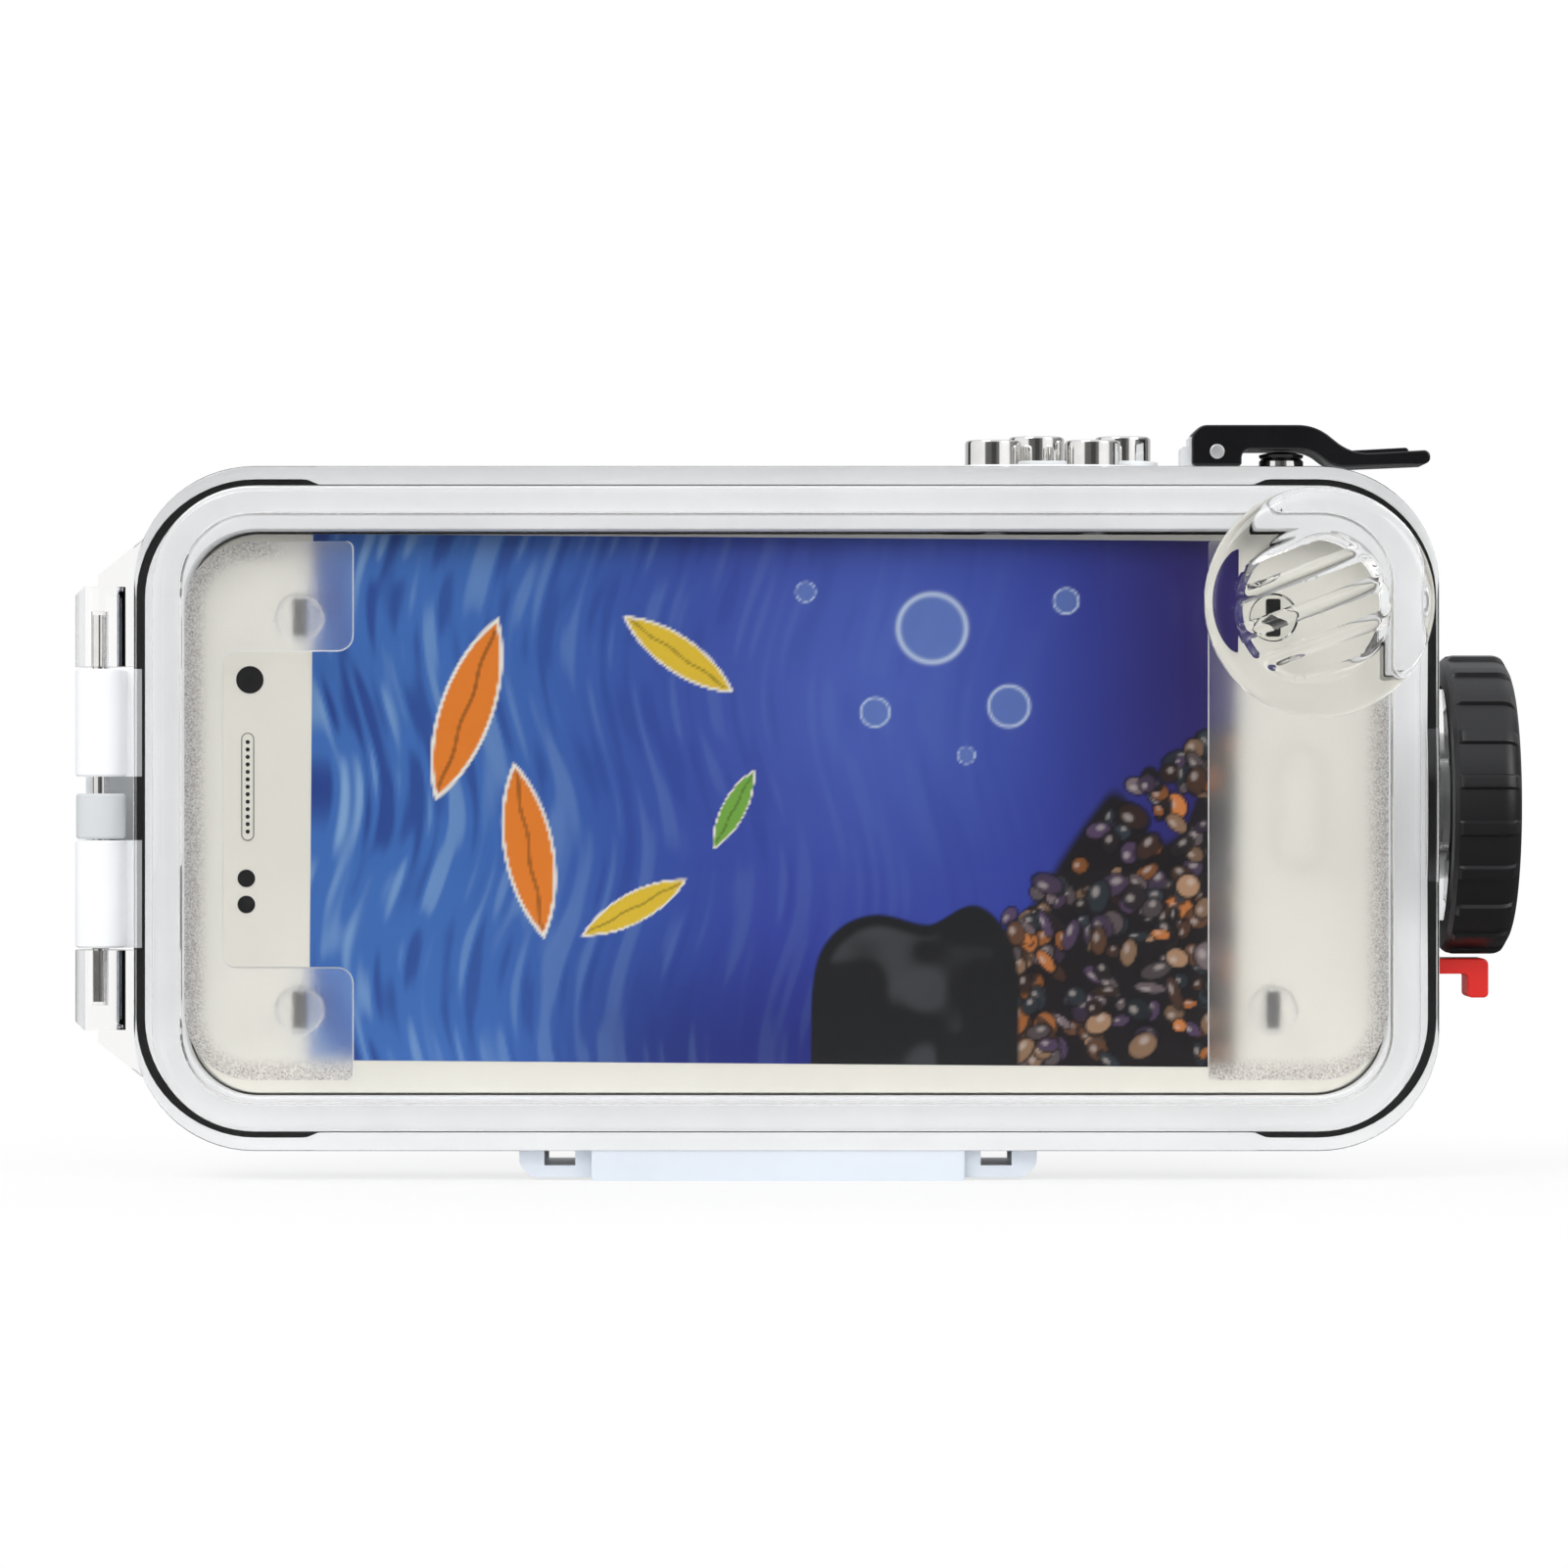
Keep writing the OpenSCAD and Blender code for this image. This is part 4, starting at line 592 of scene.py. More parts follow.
piece(solid("card_marks", [disc(-76.2, 71.0, 1.95), disc(-76.7, 42.8, 1.25), disc(-76.7, 39.1, 1.25)]),
      dark_ink, "shell")
slots = [plate(1.9, 15.4, 0.94, card_y, card_y - 0.04, -76.5, 55.8)]
piece(solid("card_speaker", slots), grey_ink, "shell")
inner = [plate(1.5, 15, 0.74, card_y, card_y - 0.06, -76.5, 55.8)]
piece(solid("card_speaker_field", inner), card_white, "shell")
home = [plate(7.3, 17.4, 3.6, card_y, card_y - 0.04, 72.7, 52.8)]
piece(solid("card_home_mark", home), grey_ink, "shell")
piece(solid("card_home_field", [plate(6.7, 16.8, 3.3, card_y, card_y - 0.06, 72.7, 52.8)]), card_white, "shell")
piece(solid("card_speaker_holes", [disc(-76.5, 55.8 + 1.06 * i, 0.3, 0.09) for i in range(-6, 7)]),
      dark_ink, "shell")

# Clear front cover
# One thick moulding of clear polycarbonate: a flange, a raised window tub, two hinge lugs, the tongue that the
# knob holds, and a round thumb rest. Two pads of its inside are blasted to a frost.
flange_y, front_y, glass_y = -15, -19, -16
tub_in, wall_in, tub_edge = 3, 6.6, 1.2


def clear(name, rough, colour, **more):
    """Clear plastic: it bends what is seen through it, and lamp light passes to what lies behind it."""
    material = surface(name, colour, rough, mottle=0, rough_spread=0.0, IOR=1.5, Transmission_Weight=1.0, **more)
    nodes, links = material.node_tree.nodes, material.node_tree.links
    shader = nodes["Principled BSDF"]
    through = nodes.new("ShaderNodeBsdfTransparent")
    path = nodes.new("ShaderNodeLightPath")
    mix = nodes.new("ShaderNodeMixShader")
    links.new(path.outputs["Is Shadow Ray"], mix.inputs[0])
    links.new(shader.outputs[0], mix.inputs[1])
    links.new(through.outputs[0], mix.inputs[2])
    links.new(mix.outputs[0], nodes["Material Output"].inputs["Surface"])
    return material


clear_plastic = clear("clear polycarbonate", 0.0, (1.0, 0.996, 0.988, 1))
frosted_plastic = clear("frosted polycarbonate", 0.58, (0.975, 0.972, 0.965, 1), grain=0.5, grain_scale=3200)


def speckled_edge(material, length, height, r, z, reach, dark, pale):
    """Round the edge of a rounded rectangle the frost is coarser: dark specks that fade out over the reach inwards,
    at the right end only below the thumb rest."""
    nodes, links = material.node_tree.nodes, material.node_tree.links

    def maths(way, a, b):
        node = nodes.new("ShaderNodeMath")
        node.operation = way
        for socket, value in zip(node.inputs, (a, b)):
            if isinstance(value, (int, float)):
                socket.default_value = value
            else:
                links.new(value, socket)
        return node.outputs[0]

    def spread(value, low, high):
        node = nodes.new("ShaderNodeMapRange")
        node.interpolation_type = "SMOOTHSTEP"
        node.inputs["From Min"].default_value, node.inputs["From Max"].default_value = low, high
        links.new(value, node.inputs["Value"])
        return node.outputs["Result"]

    place = nodes.new("ShaderNodeTexCoord")
    split = nodes.new("ShaderNodeSeparateXYZ")
    links.new(place.outputs["Object"], split.inputs["Vector"])
    out_x = maths("MAXIMUM", maths("SUBTRACT", maths("ABSOLUTE", split.outputs["X"], 0), (length - r) / 1000), 0)
    up = maths("ABSOLUTE", maths("SUBTRACT", split.outputs["Z"], z / 1000), 0)
    out_z = maths("MAXIMUM", maths("SUBTRACT", up, (height - r) / 1000), 0)
    from_middle = maths("SQRT", maths("ADD", maths("MULTIPLY", out_x, out_x), maths("MULTIPLY", out_z, out_z)), 0)
    near_edge = spread(from_middle, (r - reach) / 1000, (r - 1.4) / 1000)
    low_down = spread(split.outputs["Z"], 0.071, 0.066)
    at_left = spread(split.outputs["X"], -0.068, -0.075)
    near_edge = maths("MULTIPLY", near_edge, maths("MAXIMUM", low_down, at_left))
    specks = nodes.new("ShaderNodeTexNoise")
    specks.inputs["Scale"].default_value = 4500
    specks.inputs["Detail"].default_value = 2
    links.new(place.outputs["Object"], specks.inputs["Vector"])
    amount = maths("MULTIPLY", near_edge, spread(specks.outputs["Fac"], 0.75, 0.15))
    tone = nodes.new("ShaderNodeMix")
    tone.data_type = "RGBA"
    tone.inputs["A"].default_value, tone.inputs["B"].default_value = pale, dark
    links.new(amount, tone.inputs["Factor"])
    links.new(tone.outputs["Result"], nodes["Principled BSDF"].inputs["Base Color"])


speckled_edge(frosted_plastic, 84.9, 38.2, 9.6, 52.4, 4.2, (0.13, 0.06, 0.1, 1), (0.975, 0.972, 0.965, 1))
# An opaque near-white that paints the highlight of the frosted pads' raised edge.
painted_edge_highlight = surface("painted highlight along the frost's edge", tint(250, 250, 250), 0.35, mottle=0.02)
cover_rings = [at_depth(case_line(wall_in + g), y) for g, y in ((0.6, glass_y), (0.18, -15.82), (0, -15.4), (0, -11.2), (-0.2, -11))]
cover_rings += [at_depth(case_line(g), y) for g, y in (
    (0.3, -11), (0.09, -11.09), (0, -11.3), (0, -14.6), (0.12, -14.88), (0.4, -15), (tub_in - 0.4, flange_y), (tub_in - 0.12, -15.12),
    (tub_in, -15.4))]
cover_rings += [at_depth(case_line(tub_in + tub_edge * (1 - np.cos(t))), front_y + tub_edge * (1 - np.sin(t)))
                for t in turn]
cover = solid("front_cover_body", [skin(cover_rings)])
cover.data.materials.append(clear_plastic)


def lug(side):
    """One hinge lug: a D-shaped bar along Z, cut to the slanted outline that shows from the front."""
    near, far = mid_z + side * 20, mid_z + side * 38.5
    end = mid_z + side * 31.3
    low, high = sorted((near, end))
    barrel = lathe([[0, low], [knuckle_r, low], [knuckle_r, high], [0, high]], (pin_x, part_y, 0), steps=64)
    web_low, web_high = sorted((near, far))
    web = box(pin_x, -88, part_y - knuckle_r, part_y, web_low, web_high)
    blank = combine(solid("lug", [barrel]), [web], "UNION")
    outline = np.array([[-86, near], [pin_x - 3.6, near], [pin_x - 3.6, mid_z + side * 30], [-90, far], [-86, far]])
    combine(blank, [prism(outline, -16, -7)], "INTERSECT")
    bore_low, bore_high = mid_z - 27.8, mid_z + 27.8
    combine(blank, [lathe([[0, bore_low], [1.26, bore_low], [1.26, bore_high], [0, bore_high]], (pin_x, part_y, 0), steps=32)])
    return blank


def take(obj):
    """An object's mesh as a part, in millimetres, and the object cleared away."""
    mesh = obj.data
    points = np.empty(len(mesh.vertices) * 3)
    mesh.vertices.foreach_get("co", points)
    blocks = [np.array([list(p.vertices)]) for p in mesh.polygons]
    bpy.data.objects.remove(obj)
    return points.reshape(-1, 3) * 1000, blocks


for side in (-1, 1):
    combine(cover, [take(lug(side))], "UNION")

# The tongue is a thin plate between the end of the case and the knob
knob_y, knob_z, tongue_r = 1, 53.25, 19.3
a = np.radians(np.linspace(122, 238, 33))
tongue_line = np.stack([np.minimum(knob_y + tongue_r * np.cos(a), -1.0), knob_z + tongue_r * np.sin(a)], 1)
notch = np.radians(np.linspace(235, 125, 13))
tongue_line = np.concatenate([tongue_line, np.stack([knob_y + 5.9 * np.cos(notch), knob_z + 5.9 * np.sin(notch)], 1)])
tongue_line[:, 0] = np.maximum(tongue_line[:, 0], -18.2)
tongue = prism(tongue_line, 92.15, 93.15, "x")
bridge = tongue_line[tongue_line[:, 0] < -11.5]
combine(cover, [tongue, prism(bridge, 90, 92.6, "x")], "UNION")

# The thumb rest is a low round boss with a hollow, and oblique ribs run across the hollow
thumb_x, thumb_z, thumb_r, thumb_rise = 74.7, 81.7, 16.2, 2.2
rib_angle, rib_pitch = math.radians(20), 4.9
polar_r = np.concatenate([[0.01], np.linspace(0.6, thumb_r - 2.4, 60), thumb_r - 2.4 * (1 - np.sin(turn[1:]))])
polar_a = np.linspace(0, 2 * np.pi, 256, endpoint=False)
rr, aa = np.meshgrid(polar_r, polar_a, indexing="ij")
hx, hz = rr * np.cos(aa), rr * np.sin(aa)
crown = np.where(rr < thumb_r - 2.4, 1.0, np.sqrt(np.clip(1 - ((rr - thumb_r + 2.4) / 2.4) ** 2, 0, 1)))
hollow = smooth((10.9 - np.hypot(hx + 1.2, hz + 0.8)) / 1.6)
across = (hz + 0.8) * math.cos(rib_angle) - (hx + 1.2) * math.sin(rib_angle)
wave = np.clip(np.cos(2 * np.pi * across / rib_pitch), 0, 1) ** 0.7
rise = thumb_rise * crown - hollow * (2.4 - 1.9 * wave * smooth((12 - np.abs(across)) / 2))
surface_rings = np.stack([thumb_x + hx, front_y - rise, thumb_z + hz], -1)
base_ring = np.stack([thumb_x + hx[-1], np.full(256, front_y + 0.6), thumb_z + hz[-1]], -1)
boss_part = skin(np.concatenate([surface_rings, base_ring[None]]))
combine(cover, [boss_part], "UNION")

# The frosted pads stand a hair proud of the window's inside
pad_y = glass_y + 0.12
left_pad = rounded([[-60.9, 14.6], [-60.9, 30.4], [-79.2, 30.4], [-79.2, 74.9], [-60.9, 74.9], [-60.9, 90.3], [-84.6, 90.3],
                    [-84.6, 14.6]], [1, 2.2, 1.8, 1.8, 2.2, 1, 9.5, 9.5], 8)
right_pad = rounded([[59.3, 14.6], [84.6, 14.6], [84.6, 90.3], [59.3, 90.3]], [0.4, 9.5, 9.5, 0.4], 8)
edge_line = np.array(left_pad)[2:-18]
right_object = solid("pad", [prism(right_pad, glass_y - 0.2, pad_y)])
combine(right_object, [lathe([[0, -18], [15.6, -18], [15.6, -14], [0, -14]], (thumb_x, 0, thumb_z), "y", 96)])
combine(cover, [prism(left_pad, glass_y - 0.2, pad_y), take(right_object)], "UNION", frosted_plastic)


def ridge(line, wide, low, high):
    """A fine ridge along an open line of points in the XZ plane."""
    line = np.asarray(line, float)
    along = np.gradient(line, axis=0)
    along /= np.linalg.norm(along, axis=1)[:, None]
    side = np.stack([-along[:, 1], along[:, 0]], 1) * wide / 2
    corners = [(line - side, low), (line + side, low), (line + side, high), (line - side, high)]
    rings = np.stack([np.stack([flat[:, 0], np.full(len(line), y), flat[:, 1]], 1) for flat, y in corners], 1)
    return skin(rings)


# Fine white ridges along the pads' outline carry that painted highlight.
combine(cover, [ridge(edge_line, 0.16, glass_y - 0.1, pad_y + 0.08),
                ridge([[59.3, 15.6], [59.3, 40], [59.3, 78]], 0.16, glass_y - 0.1, pad_y + 0.08)], "UNION", painted_edge_highlight)
piece(cover, None, "cover", "front_cover", angle=30)

bumper_spots = [(sx * 68.5, bay_z + sz * 27.6) for sz in (1, -1) for sx in (-1, 1)]
for i, (x, z) in enumerate(bumper_spots):
    socket = solid("bumper_socket_%d" % (i + 1), [lathe([[0, pad_y + 0.02], [3.4, pad_y + 0.02], [3.4, -13.8],
                                                         [3.2, -13.6], [0, -13.6]], (x, 0, z), "y", 64)])
    combine(socket, [plate(2.04, 5.34, 0.3, -14.4, -13, x, z)])
    piece(socket, clear_plastic if i == 1 else frosted_plastic, "cover")

# Bumpers
# Four upright black rubber blades pushed into round sockets on the inside of the window. They press on the phone.
for i, (x, z) in enumerate(bumper_spots):
    blade = plate(2, 5.3, 0.3, -14.2, -12.3, x, z, 0.3)
    piece(solid("bumper_blade_%d" % (i + 1), [blade]), black_rubber, "cover", "bumper_%d" % (i + 1))

# Hinge
# A steel pin runs through the clear lugs and the white knuckles, with a loose grey sleeve between the knuckles.
sleeve_grey = surface("sleeve plastic", tint(206, 210, 212), 0.35, grain=0.1)
sleeve = [[1.26, 48.45], [3.2, 48.45], [3.5, 48.75], [3.5, 54.55], [3.2, 54.85], [1.26, 54.85]]
sleeve_part = lathe(sleeve + [sleeve[0]], (pin_x, part_y, 0), steps=64)
piece(solid("hinge_sleeve_tube", [(sleeve_part[0], sleeve_part[1][:1])]), sleeve_grey, "shell", "hinge_sleeve")

# Latch knob
# A black moulded knob with twenty raised ribs round its rim turns on the end of the case, held by a steel screw
# on a washer.
knob_x, knob_r, knob_t, rib_h = 93.7, 21.5, 9.6, 0.5


def ribs(a, r, h):
    """Twenty raised ribs with slanted flanks round the rim, which fade out over its rounded corner."""
    place = (a * 20 / (2 * np.pi)) % 1
    rib = smooth((0.5 - np.abs(place - 0.5) - 0.33) / 0.05)
    on_rim = smooth((r - 19.2) / 0.8) * smooth((h - knob_x - 0.9) / 0.3) * smooth((knob_x + knob_t - 0.4 - h) / 0.8)
    return rib_h * rib * on_rim


core = knob_r - rib_h
knob_profile = [[5.56, 0], [core - 0.6, 0], [core, 0.6]] + [[core, h] for h in np.linspace(0.7, knob_t - 2.6, 16)]
knob_profile += [[core - 2.6 * (1 - np.cos(t)), knob_t - 2.6 * (1 - np.sin(t))] for t in turn[1:]]
knob_profile += [[core - 5, knob_t - 0.1], [core - 5.6, knob_t - 0.9], [9.4, knob_t - 1.4], [9, knob_t - 0.7], [8.6, knob_t - 0.4],
                 [5.4, knob_t - 0.4], [4.2, knob_t - 1.4], [4.2, 5.1], [2.1, 5.1], [2.1, 3.56], [5.56, 3.56], [5.56, 0]]
knob_profile = np.array(knob_profile) + [0, knob_x]
knob_part = lathe(knob_profile, (0, knob_y, knob_z), "x", 960, ribs)
knob = solid("latch_knob_body", [(knob_part[0], knob_part[1][:1])])
cam = lathe([[12.1, 92.7], [17.1, 92.7], [17.1, 96.1], [12.1, 96.1], [12.1, 92.7]], (0, knob_y, knob_z), "x", 96)
mark = box(knob_x + knob_t - 3.2, knob_x + knob_t + 1, knob_y - 1.6, knob_y + 1.6, knob_z + knob_r - 1.4, knob_z + knob_r + 2)
combine(knob, [(cam[0], cam[1][:1]), mark])
piece(knob, black_plastic, "knob", "latch_knob", angle=28)
screw = [[0, 87.3], [1.4, 87.3], [1.98, 87.9], [1.98, 99.5], [3.6, 99.5], [3.6, 100.8], [2.5, 101.7], [1.5, 101.7], [1.45, 100.7], [0, 100.7]]
piece(solid("knob_screw_body", [lathe(screw, (0, knob_y, knob_z), "x", 64)]), steel, "shell", "knob_screw")

# Lock
# A red slider under the knob. Its leg is pulled down with a thumb before the knob can turn.
red_plastic = surface("red plastic", tint(226, 34, 26), 0.36, mottle=0.05, grain=0.2, grain_scale=2000)
lock_top, lock_out = 31.3, 8.2
lock_line = rounded([[88, 25.9], [91.7, 25.9], [91.7, 29.1], [97.2, 29.1], [97.2, 25.7], [100.2, 25.7], [100.2, 31.3], [88, 31.3]],
                    [0.3, 0.3, 0.3, 0.5, 0.7, 0.7, 0.9, 0.3])
piece(solid("lock_slider_body", [prism(lock_line, -3.9, 3.9)]), red_plastic, "lock", "lock_slider", edge=0.3)

# Buttons
# Four turned steel caps on sealed shafts stand in two rows over the bosses.
for i, (x, y, seat) in enumerate(zip(button_x, button_y, button_seat)):
    top = seat + 3.6
    cap_line = [[0, 90.4], [1.25, 90.4], [1.55, 90.7], [1.55, 91.2], [1.2, 91.2], [1.2, 91.9], [1.85, 91.9], [1.85, 94.2],
                [1.2, 94.2], [1.2, 95.4], [1.85, 95.4], [1.85, seat - 0.7], [3.8, seat - 0.7], [4, seat - 0.5], [4, top - 0.45],
                [3.88, top - 0.16], [3.6, top - 0.02], [3.45, top], [3.2, top], [3.0, top - 0.2], [2.9, top - 0.3], [0, top - 0.3]]
    piece(solid("button_cap_%d" % (i + 1), [lathe(cap_line, (x, y, 0), steps=96)]), steel, "push_%d" % (i + 1),
          "button_%d" % (i + 1))

# Shutter lever
# A glossy black rocker on a steel pin presses a domed plunger. Its tail runs over the corner of the case and has a
# thin ribbed pad.
gloss_black = surface("glossy black plastic", tint(20, 20, 22), 0.2, mottle=0.15, mottle_scale=200)
tail_top, tail_low, tail_end, roof = pivot_z - 0.35, pivot_z - 2.3, 91.8, pivot_z + 0.3
tail_lift = 0.6
lever_top, lever_left = pivot_z + 3.8, pivot_x - 3.6
lever_line = rounded([[lever_left, 101.6], [lever_left, lever_top], [pivot_x + 14, lever_top], [pivot_x + 19.2, tail_top],
                      [tail_end, tail_top + tail_lift], [tail_end, tail_low + tail_lift], [pivot_x + 16.6, tail_low], [pivot_x + 13.4, roof],
                      [pivot_x + 3.5, roof], [pivot_x + 3.5, 101.6]],
                     [0.5, 2.2, 7, 7, 0.9, 0.9, 5, 5, 1.2, 0.4], 10)
lever = solid("shutter_lever_body", [prism(lever_line, -5, 5)])
combine(lever, [box(lever_left - 1, pivot_x + 2.9, -3.2, 3.2, 100, pivot_z + 2.55)])
piece(lever, gloss_black, "lever", "shutter_lever", edge=0.4, angle=30)
pad_slope = tail_lift / (tail_end - pivot_x - 19.2)
pad_at = tail_top + pad_slope * (tail_end - 7.2 - pivot_x - 19.2)
pad_line = rounded([[-4.2, -0.3], [4.2, -0.3], [4.2, 0.55], [-4.2, 0.55]], [0, 0, 0.5, 0.5])
pad_line = pad_line @ np.array([[1, pad_slope], [-pad_slope, 1]]) + [tail_end - 7.2, pad_at]
piece(solid("lever_pad", [prism(pad_line, -3.9, 3.9)]), gloss_black, "lever", edge=0.15)
pin_heads = [lathe([[0, s * 4.6], [1.1, s * 4.6], [1.1, s * 5.05], [0.9, s * 5.2], [0, s * 5.2]], (pivot_x, 0, pivot_z), "y", 48)
             for s in (-1, 1)]
brushed_steel = surface("brushed steel", tint(225, 226, 228), 0.5, metal=1.0, mottle=0.08, mottle_scale=900)
piece(solid("lever_pin_heads", pin_heads), brushed_steel, "shell")
plunger_top = 103.82
dome = [[3.2 * s, plunger_top + math.sqrt(100 - (3.2 * s) ** 2) - 10] for s in np.linspace(1, 0, 7)]
piece(solid("plunger_dome", [lathe([[0, plunger_top - 1.5], [2.0, plunger_top - 1.5], [2.3, plunger_top - 0.95], [3.1, plunger_top - 0.95]] + dome,
                                   (plunger_x, 0, 0), steps=64)]), gloss_black, "plunger", "plunger_cap")
stem_top = plunger_top - 1.0
stem = [[0, 90.4], [1.55, 90.7], [1.55, 91.2], [1.2, 91.2], [1.2, 91.9], [1.85, 91.9], [1.85, 100.3], [3.0, 100.3], [3.2, 100.5],
        [3.2, stem_top - 0.45], [2.75, stem_top], [2.3, stem_top], [2, stem_top - 0.3], [0, stem_top - 0.3]]
piece(solid("plunger_stem", [lathe(stem, (plunger_x, 0, 0), steps=64)]), steel, "plunger", "shutter_plunger")

# Studio
# A pale floor, a white surround and two large soft lamps. The camera stands square to the window.
camera = bpy.data.objects.new("camera", bpy.data.cameras.new("camera"))
camera.location = (-0.000345, -0.8474, 0.0562)
camera.rotation_euler = (math.radians(90), 0, 0)
camera.data.sensor_width = 36
camera.data.lens = 36 * 6035 / 1601
camera.data.clip_start = 0.01
bpy.context.scene.collection.objects.link(camera)
bpy.context.scene.camera = camera

world = bpy.data.worlds.new("surround")
world.use_nodes = True
bpy.context.scene.world = world
w_nodes, w_links = world.node_tree.nodes, world.node_tree.links
paths = w_nodes.new("ShaderNodeLightPath")
direction = w_nodes.new("ShaderNodeTexCoord")
split = w_nodes.new("ShaderNodeSeparateXYZ")
w_links.new(direction.outputs["Generated"], split.inputs["Vector"])
toward = w_nodes.new("ShaderNodeMath")
toward.operation = "MULTIPLY"
toward.inputs[1].default_value = -1
w_links.new(split.outputs["Y"], toward.inputs[0])
azimuth = w_nodes.new("ShaderNodeMath")
azimuth.operation = "ARCTAN2"
w_links.new(split.outputs["X"], azimuth.inputs[0])
w_links.new(toward.outputs[0], azimuth.inputs[1])
around = w_nodes.new("ShaderNodeMath")
around.operation = "MULTIPLY_ADD"
around.inputs[1].default_value, around.inputs[2].default_value = 1 / (2 * math.pi), 0.5
w_links.new(azimuth.outputs[0], around.inputs[0])


above = w_nodes.new("ShaderNodeMapRange")
above.inputs["From Min"].default_value, above.inputs["From Max"].default_value = 0.3, 0.6
w_links.new(split.outputs["Z"], above.inputs["Value"])


def panels(stops):
    """The surround's brightness by the angle in degrees from the camera's side, positive to the right."""
    node = w_nodes.new("ShaderNodeValToRGB")
    line = node.color_ramp
    line.elements.remove(line.elements[1])
    line.elements[0].position = stops[0][0] / 360 + 0.5
    for i, (angle, light) in enumerate(stops):
        spot = line.elements.new(angle / 360 + 0.5) if i else line.elements[0]
        spot.color = (light, light, light, 1)
    w_links.new(around.outputs[0], node.inputs["Fac"])
    lift = w_nodes.new("ShaderNodeMix")
    lift.data_type = "RGBA"
    lift.inputs["B"].default_value = (0.85, 0.86, 0.88, 1)
    w_links.new(above.outputs["Result"], lift.inputs["Factor"])
    w_links.new(node.outputs["Color"], lift.inputs["A"])
    back = w_nodes.new("ShaderNodeBackground")
    w_links.new(lift.outputs["Result"], back.inputs["Color"])
    return back


mirrored = panels([(-131, 0.55), (180, 0.42), (-127, 0.03), (-112, 0.03), (-107, 0.85), (-60, 0.95), (-38, 1.0),
                   (-33, 0.15), (-9, 0.12), (-7.5, 0.06), (10, 0.06), (12, 0.14), (22, 0.17), (26, 1.0),
                   (66, 1.0), (74, 0.3), (100, 0.22), (128, 0.15), (134, 0.6)])
refracted = panels([(-100, 1.0), (180, 1.0), (-96, 0.2), (-84, 0.2), (-80, 1.0), (-18, 1.0), (-10, 0.05), (10, 0.05),
                    (18, 1.0), (80, 1.0), (84, 0.2), (96, 0.2), (100, 1.0)])
plain = w_nodes.new("ShaderNodeBackground")
plain.inputs["Color"].default_value = (1, 1, 1, 1)
even = w_nodes.new("ShaderNodeBackground")
even.inputs["Strength"].default_value = 1.05
choice = even
for kind, view in (("Is Glossy Ray", mirrored), ("Is Transmission Ray", refracted), ("Is Camera Ray", plain)):
    choose = w_nodes.new("ShaderNodeMixShader")
    w_links.new(paths.outputs[kind], choose.inputs[0])
    w_links.new(choice.outputs[0], choose.inputs[1])
    w_links.new(view.outputs[0], choose.inputs[2])
    choice = choose
w_links.new(choice.outputs[0], w_nodes["World Output"].inputs["Surface"])

floor_mesh = bpy.data.meshes.new("floor")
floor_mesh.from_pydata([(-3, -3, 0), (3, -3, 0), (3, 3, 0), (-3, 3, 0)], [], [(0, 1, 2, 3)])
floor = bpy.data.objects.new("floor", floor_mesh)
floor_look = bpy.data.materials.new("floor")
floor_look.use_nodes = True
f_nodes, f_links = floor_look.node_tree.nodes, floor_look.node_tree.links
f_shader = f_nodes["Principled BSDF"]
f_shader.inputs["Base Color"].default_value = (0.88, 0.88, 0.88, 1)
f_shader.inputs["Roughness"].default_value = 0.9
glow = f_nodes.new("ShaderNodeEmission")
f_path = f_nodes.new("ShaderNodeLightPath")
f_place = f_nodes.new("ShaderNodeTexCoord")
squash = f_nodes.new("ShaderNodeVectorMath")
squash.operation = "MULTIPLY"
squash.inputs[1].default_value = (6, 12, 0)
f_links.new(f_place.outputs["Object"], squash.inputs[0])
away = f_nodes.new("ShaderNodeVectorMath")
away.operation = "LENGTH"
f_links.new(squash.outputs[0], away.inputs[0])
fade = f_nodes.new("ShaderNodeMapRange")
fade.interpolation_type = "SMOOTHSTEP"
fade.inputs["From Min"].default_value, fade.inputs["From Max"].default_value = 0.3, 1.6
fade.inputs["To Min"].default_value, fade.inputs["To Max"].default_value = 0.75, 1.0
f_links.new(away.outputs["Value"], fade.inputs["Value"])
seen = f_nodes.new("ShaderNodeMath")
seen.operation, seen.use_clamp = "ADD", True
f_links.new(f_path.outputs["Is Camera Ray"], seen.inputs[0])
f_links.new(f_path.outputs["Is Transmission Ray"], seen.inputs[1])
share = f_nodes.new("ShaderNodeMath")
share.operation = "MULTIPLY"
f_links.new(seen.outputs[0], share.inputs[0])
f_links.new(fade.outputs["Result"], share.inputs[1])
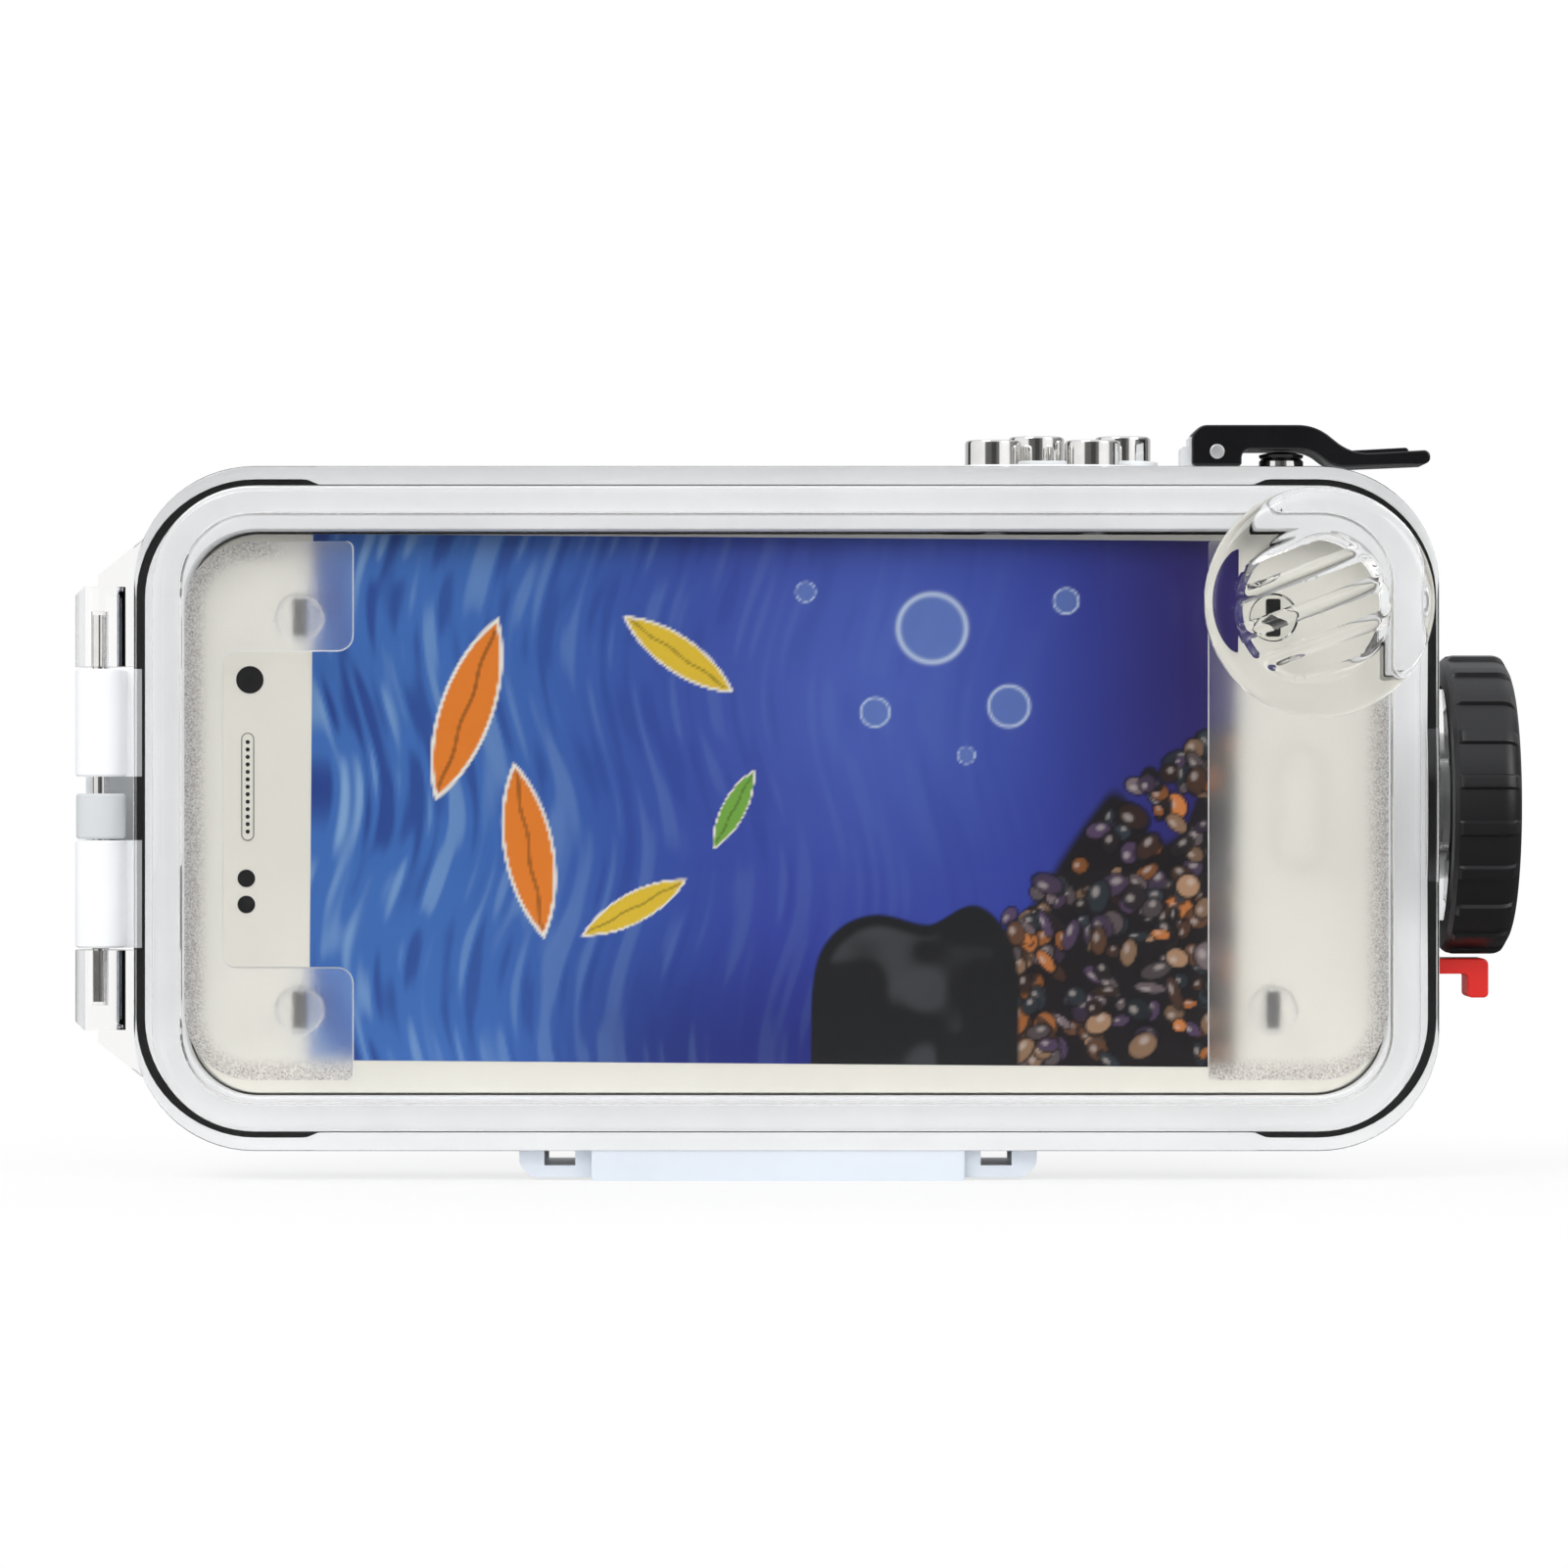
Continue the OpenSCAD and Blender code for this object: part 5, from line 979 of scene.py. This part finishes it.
f_mix = f_nodes.new("ShaderNodeMixShader")
f_links.new(share.outputs[0], f_mix.inputs[0])
f_links.new(f_shader.outputs[0], f_mix.inputs[1])
f_links.new(glow.outputs[0], f_mix.inputs[2])
dim = f_nodes.new("ShaderNodeEmission")
dim.inputs["Strength"].default_value = 0.08
f_split = f_nodes.new("ShaderNodeSeparateXYZ")
f_links.new(f_place.outputs["Object"], f_split.inputs["Vector"])
behind = f_nodes.new("ShaderNodeMapRange")
behind.inputs["From Min"].default_value, behind.inputs["From Max"].default_value = -0.12, -0.02
f_links.new(f_split.outputs["Y"], behind.inputs["Value"])
bright = f_nodes.new("ShaderNodeMath")
bright.operation = "MULTIPLY"
f_links.new(behind.outputs["Result"], bright.inputs[0])
f_links.new(f_path.outputs["Is Transmission Ray"], bright.inputs[1])
dark = f_nodes.new("ShaderNodeMath")
dark.operation, dark.use_clamp = "SUBTRACT", True
f_links.new(f_path.outputs["Is Glossy Ray"], dark.inputs[0])
f_links.new(bright.outputs[0], dark.inputs[1])
f_gloss = f_nodes.new("ShaderNodeMixShader")
f_links.new(dark.outputs[0], f_gloss.inputs[0])
f_links.new(f_mix.outputs[0], f_gloss.inputs[1])
f_links.new(dim.outputs[0], f_gloss.inputs[2])
f_links.new(f_gloss.outputs[0], f_nodes["Material Output"].inputs["Surface"])
floor_mesh.materials.append(floor_look)
bpy.context.scene.collection.objects.link(floor)


def lamp(name, place, aim, size, power):
    """A square soft lamp that looks from place at aim."""
    data = bpy.data.lights.new(name, "AREA")
    data.size, data.energy = size, power
    obj = bpy.data.objects.new(name, data)
    obj.location = place
    away = np.array(place) - np.array(aim)
    obj.rotation_euler = (math.acos(away[2] / np.linalg.norm(away)), 0, math.atan2(away[1], away[0]) + math.pi / 2)
    bpy.context.scene.collection.objects.link(obj)


lamp("key", (-0.5, -0.7, 0.9), (0, 0, 0.05), 0.6, 4.7)
lamp("fill", (0.8, -0.6, 0.5), (0, 0, 0.05), 0.5, 2.2)
bpy.context.scene.view_settings.view_transform = "Standard"
